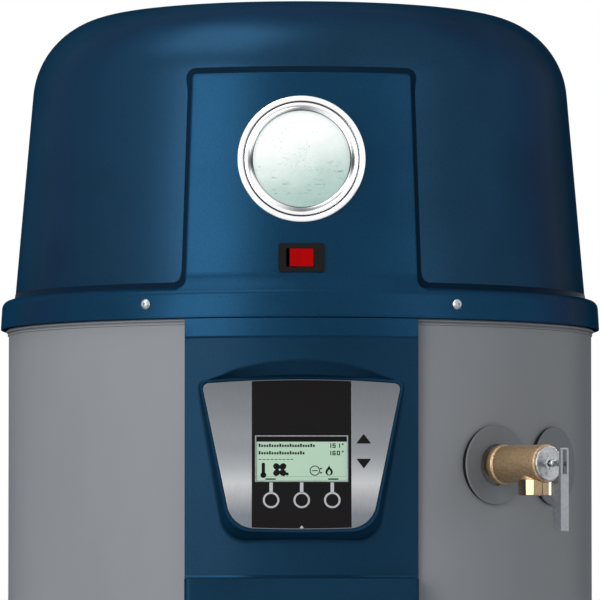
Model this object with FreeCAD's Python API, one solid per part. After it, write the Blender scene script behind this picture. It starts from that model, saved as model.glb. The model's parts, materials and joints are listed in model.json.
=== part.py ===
import FreeCAD, Part
import math
import os

# Tank water heater with a heat pump head. Millimetres, +Z up, front towards -Y, +X to the right.
# The origin is on the heater's axis, on the floor.

Vector = FreeCAD.Vector

# ---------------------------------------------------------------- driving dimensions
# Fits that repeat
seam_gap = 0.6            # visible seam between two covers
seat_gap = 0.3            # between rigid faces that only lie together
slide_gap = 0.4           # each side of a moving key or rocker
shaft_gap = 0.06          # radial, running shaft in its bearing
sheet_gauge = 1.2         # thin steel sheet
overrun = 1.0             # how far a cutting or joining body runs past a face

# Jacket and base
foam_thickness = 53.0     # tank wall to the inside of the jacket
jacket_gauge = 1.0
rim_height = 1367.0       # floor to the underside of the shroud
pan_floor = 3.0
pan_lip_height = 32.0
pan_lip_gauge = 1.8
bead_proud = 2.6          # bead beyond the jacket
bead_height = 5.0
bead_drop = 1.5           # shroud underside to the top of the bead
cap_skirt = 22.0

# Tank
tank_radius = 254.0
tank_wall = 2.5
crown_drop = 43.0         # underside of the shroud to the tank's crown
top_head_rise = 66.0
bottom_head_height = 62.0
bottom_head_rise = 45.0
head_flange = 14.0

# Ports: angles are measured from the front, positive towards +X
relief_angle = 39.5
water_angle = 57.0
relief_drop = 147.0       # below the underside of the shroud
cold_inlet_height = 230.0
drain_angle = 75.0
drain_height = 120.0
spud_radius = 19.0
spud_length = 16.0
port_boss_radius = 17.0
pipe_thread_bore = 12.2   # 3/4 inch pipe thread
pipe_thread_depth = 22.0
nipple_bore = 8.0
escutcheon_radius = 40.5
escutcheon_proud = 4.5
escutcheon_bevel = 1.2
jacket_hole_radius = 26.0

# Shroud (dome)
dome_wall = 3.0
dome_inset = 3.8          # dome's foot inside the jacket's radius
dome_lean = 4.94          # degrees, wall leaning in
shoulder_radius = 90.0
shroud_height = 331.0     # rim to the tangent flat of the roof
crown_rise = 2.0
rim_overhang = 8.5        # rim's foot beyond the jacket
rim_draft = 1.9           # rim's upper edge in from its foot
rim_height_band = 38.0
rim_wall = 3.0
rim_fillet = 9.0

# Front cover
cover_proud = 4.6
cover_clear = 0.6
panel_top = 254.0
panel_half_top = 114.0
panel_half_foot = 121.0
panel_foot = 36.0
panel_corner = 6.0
panel_flare = 9.0
access_half_width = 88.0
access_low = 46.0
access_high = 232.0

# Screws of the covers
screw_height = 14.8
screw_angle = 30.0
screw_head_radius = 5.5
screw_head_rise = 3.2
screw_shank_radius = 2.1
screw_reach = 16.0
screw_boss_radius = 5.0
hex_socket = 3.0

# Badge
badge_height = 161.0
badge_radius = 64.7
badge_disc_radius = 49.2
badge_proud = 3.2
badge_disc_proud = 1.6
badge_depth = 14.0

# Rocker switch
rocker_height = 60.7
rocker_bezel_width = 47.0
rocker_bezel_height = 29.0
rocker_bezel_corner = 3.0
rocker_bezel_proud = 2.4
rocker_width = 24.7
rocker_tall = 18.0
rocker_offset = -1.5      # pivot to the left, so the pressed rocker looks centred
rocker_tilt = 9.0         # degrees each side of the middle
rocker_depth = 8.0        # pivot behind the bezel's face
rocker_body_width = 40.0
rocker_body_height = 23.0
rocker_body_depth = 24.0
rocker_body_wall = 2.0
rocker_pin_radius = 1.5
rocker_heel = 3.0         # taper of the rocker's sides behind the pivot

# Control cover
strip_half_width = 118.0
strip_band_proud = 10.0   # beyond the jacket, as are the next two
strip_band_height = 18.6
strip_step = 2.2
strip_upper_proud = 7.6
strip_lower_proud = 4.0
strip_wall = 3.0
control_cover_height = 262.0
lower_cover_proud = 11.0  # middle of the lower cover beyond the jacket
lower_cover_bow = 5.0
lower_cover_foot = 46.0
lower_cover_edge = 6.0

# Control panel, measured in its own tilted plane
bezel_top_drop = 61.6     # shroud underside to the bezel's upper edge
bezel_top_sink = 7.0      # upper edge behind the jacket's front
bezel_tilt = 11.3         # degrees, facing up
bezel_length = 154.0
bezel_half_top = 101.0
bezel_half_foot = 70.4
bezel_arch = 4.6
bezel_belly = 2.0
arch_share = 0.85         # share of an edge that its arch takes up
belly_share = 0.5
bezel_top_corner = 6.0
bezel_foot_corner = 28.0
bezel_gauge = 1.5
bezel_gap = 0.4
ledge_reach = 1.5         # ledge under the fascia's edge
ledge_gauge = 3.0
pod_rim = 2.6
pod_depth = 42.0
pod_flare_side = 12.0
pod_flare_foot = 15.0
recess_reach = 44.0
recess_rise = 40.0
recess_widen = 2.0

# Display and keys
fascia_width = 100.0
fascia_margin = 2.6       # bezel left above and below the fascia
fascia_gauge = 1.5
lcd_width = 93.7
lcd_height = 48.0
lcd_down = 58.5           # bezel's upper edge to the top of the display
lcd_frame_border = 1.3
lcd_frame_gauge = 1.8
lcd_depth = 6.0
lcd_sink = 1.0            # display face behind the fascia's face
key_pitch = 30.7
key_down = 125.2
key_radius = 6.0
key_proud = 0.7
key_flange = 1.4
key_flange_gauge = 1.0
key_travel = 0.8
key_stalk = 5.2
key_stalk_radius = 2.0
arrow_across = 62.5
arrow_up_down = 62.2
arrow_down_down = 87.6
arrow_width = 13.6
arrow_tall = 9.0
arrow_flange = 8.2
arrow_corner = 0.6
arrow_stretch = 1.6       # base corners' share of a margin round the triangle
board_depth = 12.5        # face of the control board behind the bezel's face
board_gauge = 1.6
board_width = 136.0
board_length = 88.0
board_start = 44.0
board_post_radius = 3.0
switch_width = 6.0
board_parts = ((-45.0, 42.0, 22.0, 36.0, 10.0),     # across, down, width, length, height
               (27.0, 35.0, 34.0, 30.0, 8.0))

# Relief valve, along its own axis; zero is the jacket's surface
relief_root_radius = 20.4
relief_root_length = 9.6
relief_barrel_radius = 19.6
relief_cap_face = 85.0
relief_cap_radius = 17.5
relief_cap_rise = 3.0
relief_outlet_at = 62.4
relief_outlet_flats = 32.0
relief_outlet_sides = 8
relief_neck_radius = 15.0
relief_outlet_drop = 32.0
relief_outlet_height = 16.0
relief_outlet_depth = 15.0
relief_chamber_radius = 12.5
relief_chamber_start = 40.0
relief_passage_radius = 9.0
relief_stem_radius = 2.5
relief_disc_radius = 11.5
relief_disc_gauge = 3.0
relief_disc_at = 40.3
relief_stem_out = 19.0    # stem end beyond the cap's face
relief_head_radius = 3.2
relief_head_length = 7.0
relief_collar = 2.5       # bevel of the root collar
relief_boss_radius = 5.5
relief_boss_rise = 2.2
relief_boss_tip = 4.2
relief_bonnet = 6.0       # cap's plug inside the body
relief_lift = 3.0
spring_wire = 1.5
spring_radius = 8.5
spring_turns = 5
probe_radius = 4.0
probe_length = 110.0
probe_spider = 2.0        # gauge of the cross that centres the probe

# Relief lever, measured from the cap's face and the valve's axis
lever_width = 10.5
lever_gauge = 1.5
lever_inner = 9.7
lever_outer = 22.6
lever_top = 15.2
lever_foot = -69.0
lever_pin_out = 16.0
lever_pin_up = 0.0
lever_pin_radius = 1.4
lever_pin_head = 2.4
lever_top_corner = 6.0
lever_foot_corner = 3.0
lever_slot_width = 6.0
lever_slot_top = 13.7
lever_slot_foot = -11.0

# Heating elements and thermostats
lower_element_height = 330.0
upper_element_drop = 307.0
element_hex = 38.0
element_hex_gauge = 9.0
element_rod_radius = 4.2
element_rod_gap = 12.0
element_rod_length = 240.0
terminal_radius = 2.5
terminal_length = 7.0
terminal_spacing = 14.0
thermostat_rise = 82.0
thermostat_width = 44.0
thermostat_height = 58.0
thermostat_depth = 20.0
thermostat_dial_radius = 6.0
thermostat_dial_rise = 3.0
thermostat_dial_up = 17.4
bracket_gauge = 1.2
bracket_width = 74.0
bracket_height = 12.0
bracket_up = 7.0          # thermostat's foot to the bracket's
pocket_half_width = 56.0
pocket_below = 42.0
pocket_above = 128.0
board_pocket_side = 13.6  # round the panel's foot
board_pocket_below = 13.4
board_pocket_above = 5.6
board_pocket_foam = 8.0   # foam left behind the pocket

# Inside the tank
anode_radius = 10.5
anode_plug_radius = 13.0
anode_plug_depth = 7.5
anode_length = 900.0
anode_angle = 150.0
anode_offset = 120.0
anode_hex = 27.0
anode_hex_height = 9.0
diffuser_wall = 1.5
diffuser_reach = 120.0
diffuser_drop = 60.0
diffuser_bend = 24.0

# Condenser coil wound on the tank
coil_tube_radius = 5.0
coil_foot_gap = 100.0     # lower element's middle to the coil
coil_top_gap = 84.0       # coil to the upper element's middle
coil_turns = 13
coil_clear = 2.0

# Drain valve, along its own axis
drain_body_radius = 12.5
drain_flange_radius = 17.0
drain_flange_length = 6.0
drain_body_length = 46.0
drain_shank_radius = 10.0
drain_outlet_at = 26.0
drain_thread_radius = 13.3
drain_thread_length = 14.0
drain_neck_radius = 11.3
drain_plug_length = 4.0
drain_outlet_drop = 34.0
drain_bore = 7.0
drain_bonnet_hex = 24.0
drain_bonnet_length = 9.0
drain_stem_radius = 4.0
drain_stem_inside = 20.0
knob_radius = 19.0
knob_length = 11.0
knob_gap = 2.0
knob_lobes = 6
knob_scallop = 5.5
knob_scallop_out = 2.2    # centre of a scallop beyond the knob's edge
knob_hub_radius = 6.2

# Heat pump, heights above the compartment's floor
compressor_radius = 62.0
compressor_height = 178.0
compressor_dome = 24.0
compressor_place = (-150.0, -95.0)
compressor_foot_radius = 84.0
foot_gauge = 4.0
foot_width = 30.0
foot_count = 3
grommet_radius = 10.0
grommet_height = 16.0
bolt_radius = 3.0
bolt_head_radius = 6.5
bolt_head_height = 4.5
coil_block_width = 250.0
coil_block_depth = 44.0
coil_block_height = 196.0
coil_block_front = 112.0
fin_count = 32
fin_gauge = 1.2
evap_tube_radius = 4.75
evap_rows = 7
pan_width = 290.0
pan_depth = 66.0
pan_height = 22.0
pan_wall = 2.5
spigot_radius = 9.5
spigot_bore = 7.0
spigot_length = 18.0      # free stretch outside the rim
spigot_neck = 8.6         # radius from the tray to the rim
fan_radius = 76.0
fan_hub_radius = 23.0
fan_hub_length = 22.0
fan_blades = 5
fan_blade_gauge = 2.2
fan_pitch = 28.0
blade_fill = 0.9          # share of the hub's length that a blade takes up
fan_arms = 3
fan_tip_gap = 5.0
fan_height = 118.0
orifice_length = 30.0
fan_plate_width = 250.0
fan_plate_height = 204.0
fan_plate_gauge = 1.5
motor_radius = 38.0
motor_length = 46.0
motor_shaft_radius = 4.0
motor_gap = 6.0
strut_width = 14.0
filter_width = 200.0
filter_gauge = 9.0
filter_plane = 176.0      # distance behind the axis
filter_foot = 46.0
filter_border = 9.0
filter_ribs = 7
filter_rib_width = 3.0
filter_mesh_gauge = 2.0
filter_grip_width = 90.0
filter_grip_height = 9.0
filter_grip_gauge = 6.0
filter_lid_gauge = 3.0
filter_lid_margin = 7.0
filter_lid_corner = 2.0
rail_gauge = 1.5
rail_grip = 7.0

# Louvres in the back of the shroud
louvre_count = 13
louvre_pitch = 13.0
louvre_height = 5.5
louvre_low = 62.0
louvre_width = 150.0
louvre_angles = (180.0, 125.0, -125.0)

# Refrigerant parts
line_radius = 4.0
line_bend = 22.0
line_drop = 35.0          # loop below the drier
line_out = 29.0           # loop beside the expansion valve
line_over = 44.0          # loop above the compressor and the drier
line_angle = 28.0
drier_radius = 14.0
drier_length = 90.0
drier_rise = 84.0
drier_mouth = 5.0
drier_place = (150.0, -60.0)
strap_gauge = 2.0
strap_width = 18.0
valve_block = 32.0
valve_rise = 60.0
valve_spacing = 112.0
valve_head_radius = 14.4
valve_head_height = 25.6

# Junction box on the back of the jacket
box_width = 112.0
box_height = 86.0
box_depth = 46.0
box_drop = 117.0          # shroud's underside to the box's middle
box_back = 3.6            # gauge of the box's back, behind its middle
box_plug_depth = 6.0
box_screw_radius = 4.0
box_screw_rise = 2.2
box_screw_spacing = 80.0
knockout_radius = 11.1    # 1/2 inch trade size

# ---------------------------------------------------------------- worked out from the driving dimensions
jacket_inner = tank_radius + foam_thickness
jacket_radius = jacket_inner + jacket_gauge
bead_radius = jacket_radius + bead_proud
cap_floor = rim_height - sheet_gauge
tank_cylinder_top = rim_height - crown_drop - top_head_rise - head_flange
relief_height = rim_height - relief_drop
ports = ((relief_angle, relief_height), (water_angle, relief_height), (water_angle, cold_inlet_height))
water_ports = ports[1:]
floor = rim_height        # floor of the heat pump's compartment
dome_base_radius = jacket_radius - dome_inset
lean = math.radians(dome_lean)
rim_outer = jacket_radius + rim_overhang
rim_upper = rim_outer - rim_draft
strip_band_radius = jacket_radius + strip_band_proud
strip_upper_radius = jacket_radius + strip_upper_proud
strip_lower_radius = jacket_radius + strip_lower_proud
lower_cover_front = jacket_radius + lower_cover_proud
bezel_top_front = jacket_radius - bezel_top_sink
element_heights = (lower_element_height, rim_height - upper_element_drop)
coil_low = element_heights[0] + coil_foot_gap
coil_pitch = (element_heights[1] - coil_top_gap - coil_low) / coil_turns
box_center_height = rim_height - box_drop
joined = 1e-6             # points nearer than this are one


# ---------------------------------------------------------------- general helpers
def radial(angle):
    """Unit vector pointing out of the heater at an angle from the front."""
    turn = math.radians(angle)
    return Vector(math.sin(turn), -math.cos(turn), 0)


def around(angle):
    """Unit vector level and square to radial(angle)."""
    turn = math.radians(angle)
    return Vector(math.cos(turn), math.sin(turn), 0)


def cylinder(radius, length, base=Vector(0, 0, 0), axis=Vector(0, 0, 1)):
    return Part.makeCylinder(radius, length, base, axis)


def ring(outer, inner, length, base=Vector(0, 0, 0), axis=Vector(0, 0, 1)):
    return cylinder(outer, length, base, axis).cut(cylinder(inner, length, base, axis))


def box(low, high):
    size = [high[i] - low[i] for i in range(3)]
    return Part.makeBox(size[0], size[1], size[2], Vector(*low))


def prism(across_flats, sides, length):
    """Regular prism standing on Z with its base centre at the origin."""
    corner = across_flats / 2 / math.cos(math.pi / sides)
    points = []
    for i in range(sides + 1):
        turn = 2 * math.pi * (i + 0.5) / sides
        points.append(Vector(corner * math.cos(turn), corner * math.sin(turn), 0))
    return Part.Face(Part.makePolygon(points)).extrude(Vector(0, 0, length))


def aim(shape, base, axis, up=Vector(0, 0, 1)):
    """Carries local Z to axis and local Y as near to up as it goes, then moves to base."""
    zed = Vector(axis).normalize()
    wide = Vector(up).cross(zed).normalize()
    tall = zed.cross(wide)
    frame = FreeCAD.Matrix(wide.x, tall.x, zed.x, base.x,
                           wide.y, tall.y, zed.y, base.y,
                           wide.z, tall.z, zed.z, base.z,
                           0, 0, 0, 1)
    moved = shape.copy()
    moved.Placement = FreeCAD.Placement(frame).multiply(moved.Placement)
    return moved


def revolve(points, angle=360.0, start=None):
    """Solid of revolution about Z from (radius, height) points, straight between them."""
    wire = Part.makePolygon([Vector(r, 0, z) for r, z in points + points[:1]])
    return spin(wire, angle, start)


def spin(wire, angle=360.0, start=None):
    face = Part.Face(wire)
    if start is not None:
        face.rotate(Vector(0, 0, 0), Vector(0, 0, 1), start)
    return face.revolve(Vector(0, 0, 0), Vector(0, 0, 1), angle)


def rounded(points, radii):
    """Closed wire through points with each corner rounded to its own radius."""
    count = len(points)
    edges = []
    joins = []
    for i in range(count):
        corner = points[i]
        before = (points[i - 1] - corner).normalize()
        after = (points[(i + 1) % count] - corner).normalize()
        if radii[i] <= 0:
            joins.append((corner, corner, corner))
            continue
        half = before.getAngle(after) / 2
        reach = radii[i] / math.tan(half)
        middle = (before + after).normalize()
        centre = corner + middle * (radii[i] / math.sin(half))
        joins.append((corner + before * reach, centre - middle * radii[i], corner + after * reach))
    for i in range(count):
        start, middle, end = joins[i]
        if start.distanceToPoint(end) > joined:
            edges.append(Part.Arc(start, middle, end).toShape())
        following = joins[(i + 1) % count][0]
        if end.distanceToPoint(following) > joined:
            edges.append(Part.LineSegment(end, following).toShape())
    return Part.Wire(edges)


def slab(wire, direction):
    return Part.Face(wire).extrude(direction)


def tube_path(points, bend):
    """Wire through points, straight runs joined by arcs of one bend radius."""
    edges = []
    last = points[0]
    for i in range(1, len(points) - 1):
        corner = points[i]
        before = (points[i - 1] - corner).normalize()
        after = (points[i + 1] - corner).normalize()
        half = before.getAngle(after) / 2
        reach = bend / math.tan(half)
        middle = (before + after).normalize()
        centre = corner + middle * (bend / math.sin(half))
        edges.append(Part.LineSegment(last, corner + before * reach).toShape())
        edges.append(Part.Arc(corner + before * reach, centre - middle * bend,
                              corner + after * reach).toShape())
        last = corner + after * reach
    edges.append(Part.LineSegment(last, points[-1]).toShape())
    return Part.Wire(edges)


def tube(points, bend, radius):
    path = tube_path(points, bend)
    heading = points[1] - points[0]
    section = Part.Wire(Part.makeCircle(radius, points[0], heading))
    return path.makePipeShell([section], True, False)


def helix_tube(radius, pitch, height, section_radius):
    """Round rod wound about Z from z = 0, its section square to the winding."""
    helix = Part.makeHelix(pitch, height, radius)
    climb = math.atan2(pitch, 2 * math.pi * radius)
    heading = Vector(0, math.cos(climb), math.sin(climb))
    section = Part.Wire(Part.makeCircle(section_radius, Vector(radius, 0, 0), heading))
    return Part.Wire(helix.Edges).makePipeShell([section], True, True)


def crown_radius(reach, rise):
    """Radius of a crown that rises over a reach from its middle."""
    return (reach ** 2 + rise ** 2) / (2 * rise)


def fall(radius, reach):
    """How far a circle falls back at a reach from its middle."""
    return radius - math.sqrt(radius ** 2 - reach ** 2)


def line(start, end):
    return Part.LineSegment(start, end).toShape()


def join(solids):
    whole = solids[0]
    for solid in solids[1:]:
        whole = whole.fuse(solid)
    return whole.removeSplitter()


def drill(shape, tools):
    for tool in tools:
        shape = shape.cut(tool)
    return shape


def save(name, shape):
    solids = shape.Solids
    if not solids:
        raise ValueError(name + " has no solid")
    whole = solids[0] if len(solids) == 1 else Part.makeCompound(solids)
    whole.exportStep("parts/" + name + ".step")
    print(name, len(solids), round(whole.Volume))


# ---------------------------------------------------------------- tank and jacket
def on_axis(angle, height, distance):
    """Point at a distance from the heater's axis."""
    return radial(angle) * distance + Vector(0, 0, height)


def base_pan():
    outer = jacket_radius + seat_gap + pan_lip_gauge
    inner = jacket_radius + seat_gap
    return revolve([(0, 0), (outer, 0), (outer, pan_lip_height), (inner, pan_lip_height),
                    (inner, pan_floor), (0, pan_floor)])


def crown_arc(reach, rise, edge):
    """Arc of a head's crown from its edge up to the axis."""
    half = reach / 2
    big = crown_radius(reach, rise)
    top = Vector(0, 0, edge + rise)
    return Part.Arc(Vector(reach, 0, edge), Vector(half, 0, top.z - fall(big, half)), top).toShape()


def dished_head(radius, rise, flange, base, wall):
    """Pressed head: an upright flange, then a shallow crown."""
    edge = base + flange
    inner = radius - wall
    edges = [crown_arc(radius, rise, edge), line(Vector(0, 0, edge + rise), Vector(0, 0, edge + rise - wall)),
             crown_arc(inner, rise - wall, edge), line(Vector(inner, 0, edge), Vector(inner, 0, base)),
             line(Vector(inner, 0, base), Vector(radius, 0, base)),
             line(Vector(radius, 0, base), Vector(radius, 0, edge))]
    return spin(Part.Wire(Part.__sortEdges__(edges)))


def spud_places():
    places = [(angle, height, pipe_thread_bore) for angle, height in ports]
    places.append((drain_angle, drain_height, drain_shank_radius))
    for height in element_heights:
        places.append((0.0, height, pipe_thread_bore))
    return places


def tank_spuds():
    """Bosses welded on the tank wall, each bored for what screws into it."""
    spuds = []
    for angle, height, bore in spud_places():
        start = on_axis(angle, height, tank_radius - tank_wall - spud_length / 4)
        outer = cylinder(spud_radius, spud_length, start, radial(angle))
        spuds.append(outer.cut(cylinder(bore, spud_length, start, radial(angle))))
    return Part.makeCompound(spuds)


def spud_holes(radius, near, far):
    return [cylinder(radius, far - near, on_axis(angle, height, near), radial(angle))
            for angle, height, bore in spud_places()]


def tank_shell():
    wall = ring(tank_radius, tank_radius - tank_wall, tank_cylinder_top - pan_floor,
                Vector(0, 0, pan_floor))
    return drill(wall, spud_holes(spud_radius, tank_radius - spud_length, tank_radius + spud_length))


def tank_top_head():
    head = dished_head(tank_radius, top_head_rise, head_flange, tank_cylinder_top, tank_wall)
    spot = anode_place() + Vector(0, 0, tank_cylinder_top)
    return head.cut(cylinder(anode_plug_radius, head_flange + top_head_rise, spot))


def tank_bottom_head():
    inner = tank_radius - tank_wall
    return dished_head(inner, bottom_head_rise, head_flange, bottom_head_height, tank_wall)


def anode_place():
    return on_axis(anode_angle, 0, anode_offset)


def head_height_at(distance):
    """Outer height of the top head at a distance from the axis."""
    top = tank_cylinder_top + head_flange + top_head_rise
    return top - fall(crown_radius(tank_radius, top_head_rise), distance)


def coil_outer():
    return tank_radius + 2 * coil_tube_radius


def foam_insulation():
    """Foam between tank and jacket, with room for the coil and a pocket at each service place."""
    body = cylinder(jacket_inner, cap_floor - pan_floor, Vector(0, 0, pan_floor))
    tools = [cylinder(tank_radius, tank_cylinder_top - pan_floor, Vector(0, 0, pan_floor))]
    tools.append(dished_core())
    coil_foot = coil_low - coil_tube_radius - coil_clear
    coil_height = coil_pitch * coil_turns + 2 * (coil_tube_radius + coil_clear)
    tools.append(cylinder(coil_outer() + coil_clear, coil_height, Vector(0, 0, coil_foot)))
    tools.append(ring(jacket_inner + overrun, jacket_inner - sheet_gauge, cap_skirt + overrun,
                      Vector(0, 0, rim_height - cap_skirt)))
    tools += spud_holes(spud_radius, tank_radius - spud_length, tank_radius + spud_length)
    depth = jacket_radius - tank_radius
    tools += [cylinder(port_boss_radius + seat_gap, depth, on_axis(angle, height, tank_radius), radial(angle))
              for angle, height in ports]
    tools.append(cylinder(drain_shank_radius + seat_gap, depth,
                          on_axis(drain_angle, drain_height, tank_radius), radial(drain_angle)))
    tools += service_pockets()
    spot = anode_place() + Vector(0, 0, tank_cylinder_top)
    tools.append(cylinder(anode_hex, rim_height - tank_cylinder_top, spot))
    tools += line_holes(line_radius + seat_gap, coil_low)
    return drill(body, tools)


def dished_core():
    """The tank's top head as a filled solid."""
    base = Vector(0, 0, tank_cylinder_top)
    rim = Vector(tank_radius, 0, tank_cylinder_top)
    edge = rim + Vector(0, 0, head_flange)
    top = Vector(0, 0, edge.z + top_head_rise)
    edges = [line(base, rim), line(rim, edge), crown_arc(tank_radius, top_head_rise, edge.z), line(top, base)]
    return spin(Part.Wire(edges))


def service_boxes():
    """Half width, low and high edge, and inner face of each pocket at the front."""
    tank_face = tank_radius - fall(tank_radius, pocket_half_width) - overrun
    boxes = [(pocket_half_width, height - pocket_below, height + pocket_above, tank_face)
             for height in element_heights]
    panel_top_edge = rim_height - bezel_top_drop
    panel_foot_edge = panel_top_edge - bezel_length * math.cos(math.radians(bezel_tilt))
    boxes.append((bezel_half_foot + board_pocket_side, panel_foot_edge - board_pocket_below,
                  panel_top_edge + board_pocket_above, tank_radius + board_pocket_foam))
    return boxes


def service_pockets():
    return [box((-half, -jacket_radius - overrun, low), (half, -inner, high))
            for half, low, high, inner in service_boxes()]


def jacket_hole(radius, angle, height):
    """Tool for a round hole through the jacket."""
    back = 2 * fall(jacket_radius, radius) + jacket_gauge + overrun
    return cylinder(radius, back + overrun, on_axis(angle, height, jacket_radius - back), radial(angle))


def outer_jacket():
    top = rim_height - bead_drop - bead_height
    wrap = ring(jacket_radius, jacket_inner, top - pan_floor, Vector(0, 0, pan_floor))
    tools = [jacket_hole(jacket_hole_radius, angle, height) for angle, height in ports]
    tools.append(jacket_hole(drain_shank_radius + seam_gap, drain_angle, drain_height))
    tools.append(jacket_hole(knockout_radius, 180, box_center_height))
    tools += service_pockets()
    return drill(wrap, tools)


def jacket_top_cap():
    """Steel cap: floor of the heat pump's room, rolled bead and a skirt inside the jacket."""
    top = rim_height
    bead_top = top - bead_drop
    bead_foot = bead_top - bead_height
    inner = jacket_inner - sheet_gauge
    cap = revolve([(0, top), (bead_radius - bead_drop, top), (bead_radius, bead_top),
                   (bead_radius, bead_foot), (jacket_inner, bead_foot), (jacket_inner, top - cap_skirt),
                   (inner, top - cap_skirt), (inner, cap_floor), (0, cap_floor)])
    return drill(cap, line_holes(line_radius + seat_gap, cap_floor - overrun))


def line_spots():
    """Plan places of the two refrigerant lines that run down outside the coil."""
    distance = coil_outer() + line_radius + coil_clear + seat_gap
    return [radial(side * line_angle) * distance for side in (-1, 1)]


def line_holes(radius, start):
    length = rim_height + overrun - start
    return [cylinder(radius, length, spot + Vector(0, 0, start)) for spot in line_spots()]


def port_escutcheons():
    """Round plates that cover the holes in the jacket, with backs cut to the jacket's curve."""
    jacket = cylinder(jacket_radius, rim_height)
    back = fall(jacket_radius, escutcheon_radius)
    deep = back + escutcheon_proud - escutcheon_bevel
    plates = []
    for angle, height in ports:
        hole = relief_root_radius if angle == relief_angle else port_boss_radius
        axis = radial(angle)
        start = on_axis(angle, height, jacket_radius - back)
        disc = cylinder(escutcheon_radius, deep, start, axis)
        bevel = Part.makeCone(escutcheon_radius, escutcheon_radius - escutcheon_bevel, escutcheon_bevel,
                              start + axis * deep, axis)
        opening = cylinder(hole + seat_gap, deep + escutcheon_bevel, start, axis)
        plates.append(drill(disc.fuse(bevel), [opening, jacket]))
    return Part.makeCompound(plates)


def water_nipples():
    """Tubes that carry the hot and cold ports from the tank wall to the jacket, threaded inside."""
    inner_end = tank_radius - tank_wall - spud_length / 4
    spud_face = inner_end + spud_length
    mouth = jacket_radius + escutcheon_proud
    tubes = []
    for angle, height in water_ports:
        axis = radial(angle)
        shank = cylinder(pipe_thread_bore, spud_length, on_axis(angle, height, inner_end), axis)
        boss = cylinder(port_boss_radius, mouth - spud_face, on_axis(angle, height, spud_face), axis)
        bore = cylinder(nipple_bore, mouth - inner_end, on_axis(angle, height, inner_end), axis)
        thread = cylinder(pipe_thread_bore, pipe_thread_depth,
                          on_axis(angle, height, mouth - pipe_thread_depth), axis)
        tubes.append(drill(shank.fuse(boss), [bore, thread]))
    return Part.makeCompound(tubes)


# ---------------------------------------------------------------- inside the tank
def anode_rod():
    spot = anode_place()
    seat = head_height_at(anode_offset)
    seat_top = head_height_at(anode_offset - anode_plug_radius) + seat_gap
    low = seat - anode_plug_depth
    shank = cylinder(anode_plug_radius, seat_top - low, spot + Vector(0, 0, low))
    rod = cylinder(anode_radius, anode_length, spot + Vector(0, 0, seat - anode_length))
    cap = prism(anode_hex, 6, anode_hex_height)
    cap.translate(spot + Vector(0, 0, seat_top))
    return join([rod, shank, cap])


def inlet_diffuser():
    """Tube at the cold inlet that turns the cold water down along the bottom of the tank."""
    start = on_axis(water_angle, cold_inlet_height, tank_radius - tank_wall + spud_length / 2)
    turn = start - radial(water_angle) * diffuser_reach
    points = [start, turn, turn - Vector(0, 0, diffuser_drop)]
    outer = tube(points, diffuser_bend, nipple_bore)
    inner = tube(points, diffuser_bend, nipple_bore - diffuser_wall)
    return outer.cut(inner)


def heating_element(height):
    """Screw plug with a hexagon head and a bent rod, lying along the axis towards the back."""
    face = tank_radius - tank_wall + spud_length * 3 / 4
    end = -spud_length - element_rod_length
    half_gap = element_rod_gap / 2
    head = prism(element_hex, 6, element_hex_gauge)
    shank = cylinder(pipe_thread_bore, spud_length, Vector(0, 0, -spud_length))
    legs = [cylinder(element_rod_radius, element_rod_length, Vector(0, side * half_gap, end))
            for side in (-1, 1)]
    bend = Part.makeTorus(half_gap, element_rod_radius, Vector(0, 0, end), Vector(1, 0, 0))
    room = element_rod_gap + element_rod_radius
    bend = bend.common(box((-room, -room, end - room), (room, room, end)))
    terminals = [cylinder(terminal_radius, terminal_length,
                          Vector(side * terminal_spacing / 2, 0, element_hex_gauge)) for side in (-1, 1)]
    whole = join([head, shank] + legs + [bend] + terminals)
    return aim(whole, on_axis(0, height, face), radial(0))


def heating_elements():
    return Part.makeCompound([heating_element(height) for height in element_heights])


def thermostat(height):
    low = height + thermostat_rise - thermostat_height / 2
    front = tank_radius + thermostat_depth
    half = thermostat_width / 2
    back = tank_radius - fall(tank_radius, half) - overrun
    block = box((-half, -front, low), (half, -back, low + thermostat_height))
    dial = cylinder(thermostat_dial_radius, thermostat_dial_rise,
                    Vector(0, -front, height + thermostat_rise + thermostat_dial_up), Vector(0, -1, 0))
    return block.fuse(dial).cut(cylinder(tank_radius, rim_height))


def thermostats():
    return Part.makeCompound([thermostat(height) for height in element_heights])


def thermostat_bracket(height):
    """Spring steel strap that presses the thermostat on the tank wall."""
    low = height + thermostat_rise - thermostat_height / 2 + bracket_up
    high = low + bracket_height
    half = thermostat_width / 2
    front = tank_radius + thermostat_depth
    back = tank_radius - fall(tank_radius, half + bracket_gauge) - overrun
    bridge = box((-half - bracket_gauge, -front - bracket_gauge, low), (half + bracket_gauge, -back, high))
    hollow = box((-half, -front, low - overrun), (half, 0, high + overrun))
    feet = ring(tank_radius + bracket_gauge, tank_radius, bracket_height, Vector(0, 0, low))
    feet = feet.common(box((-bracket_width / 2, -front, low), (bracket_width / 2, 0, high)))
    strap = bridge.fuse(feet).cut(hollow).cut(cylinder(tank_radius, rim_height))
    return strap.removeSplitter()


def thermostat_brackets():
    return Part.makeCompound([thermostat_bracket(height) for height in element_heights])


def condenser_coil():
    """Tube wound on the tank wall from above the lower element to below the upper one."""
    coil = helix_tube(tank_radius + coil_tube_radius, coil_pitch, coil_pitch * coil_turns, coil_tube_radius)
    coil.translate(Vector(0, 0, coil_low))
    return coil


# ---------------------------------------------------------------- relief valve
def on_relief(shape):
    """Local Z is the valve's axis from the jacket's surface outwards, local Y is up."""
    return aim(shape, on_axis(relief_angle, relief_height, jacket_radius), radial(relief_angle))


def relief_inner_end():
    """Where a valve's shank ends inside the tank, measured from the jacket's surface."""
    return tank_radius - tank_wall - spud_length / 4 - jacket_radius


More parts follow.
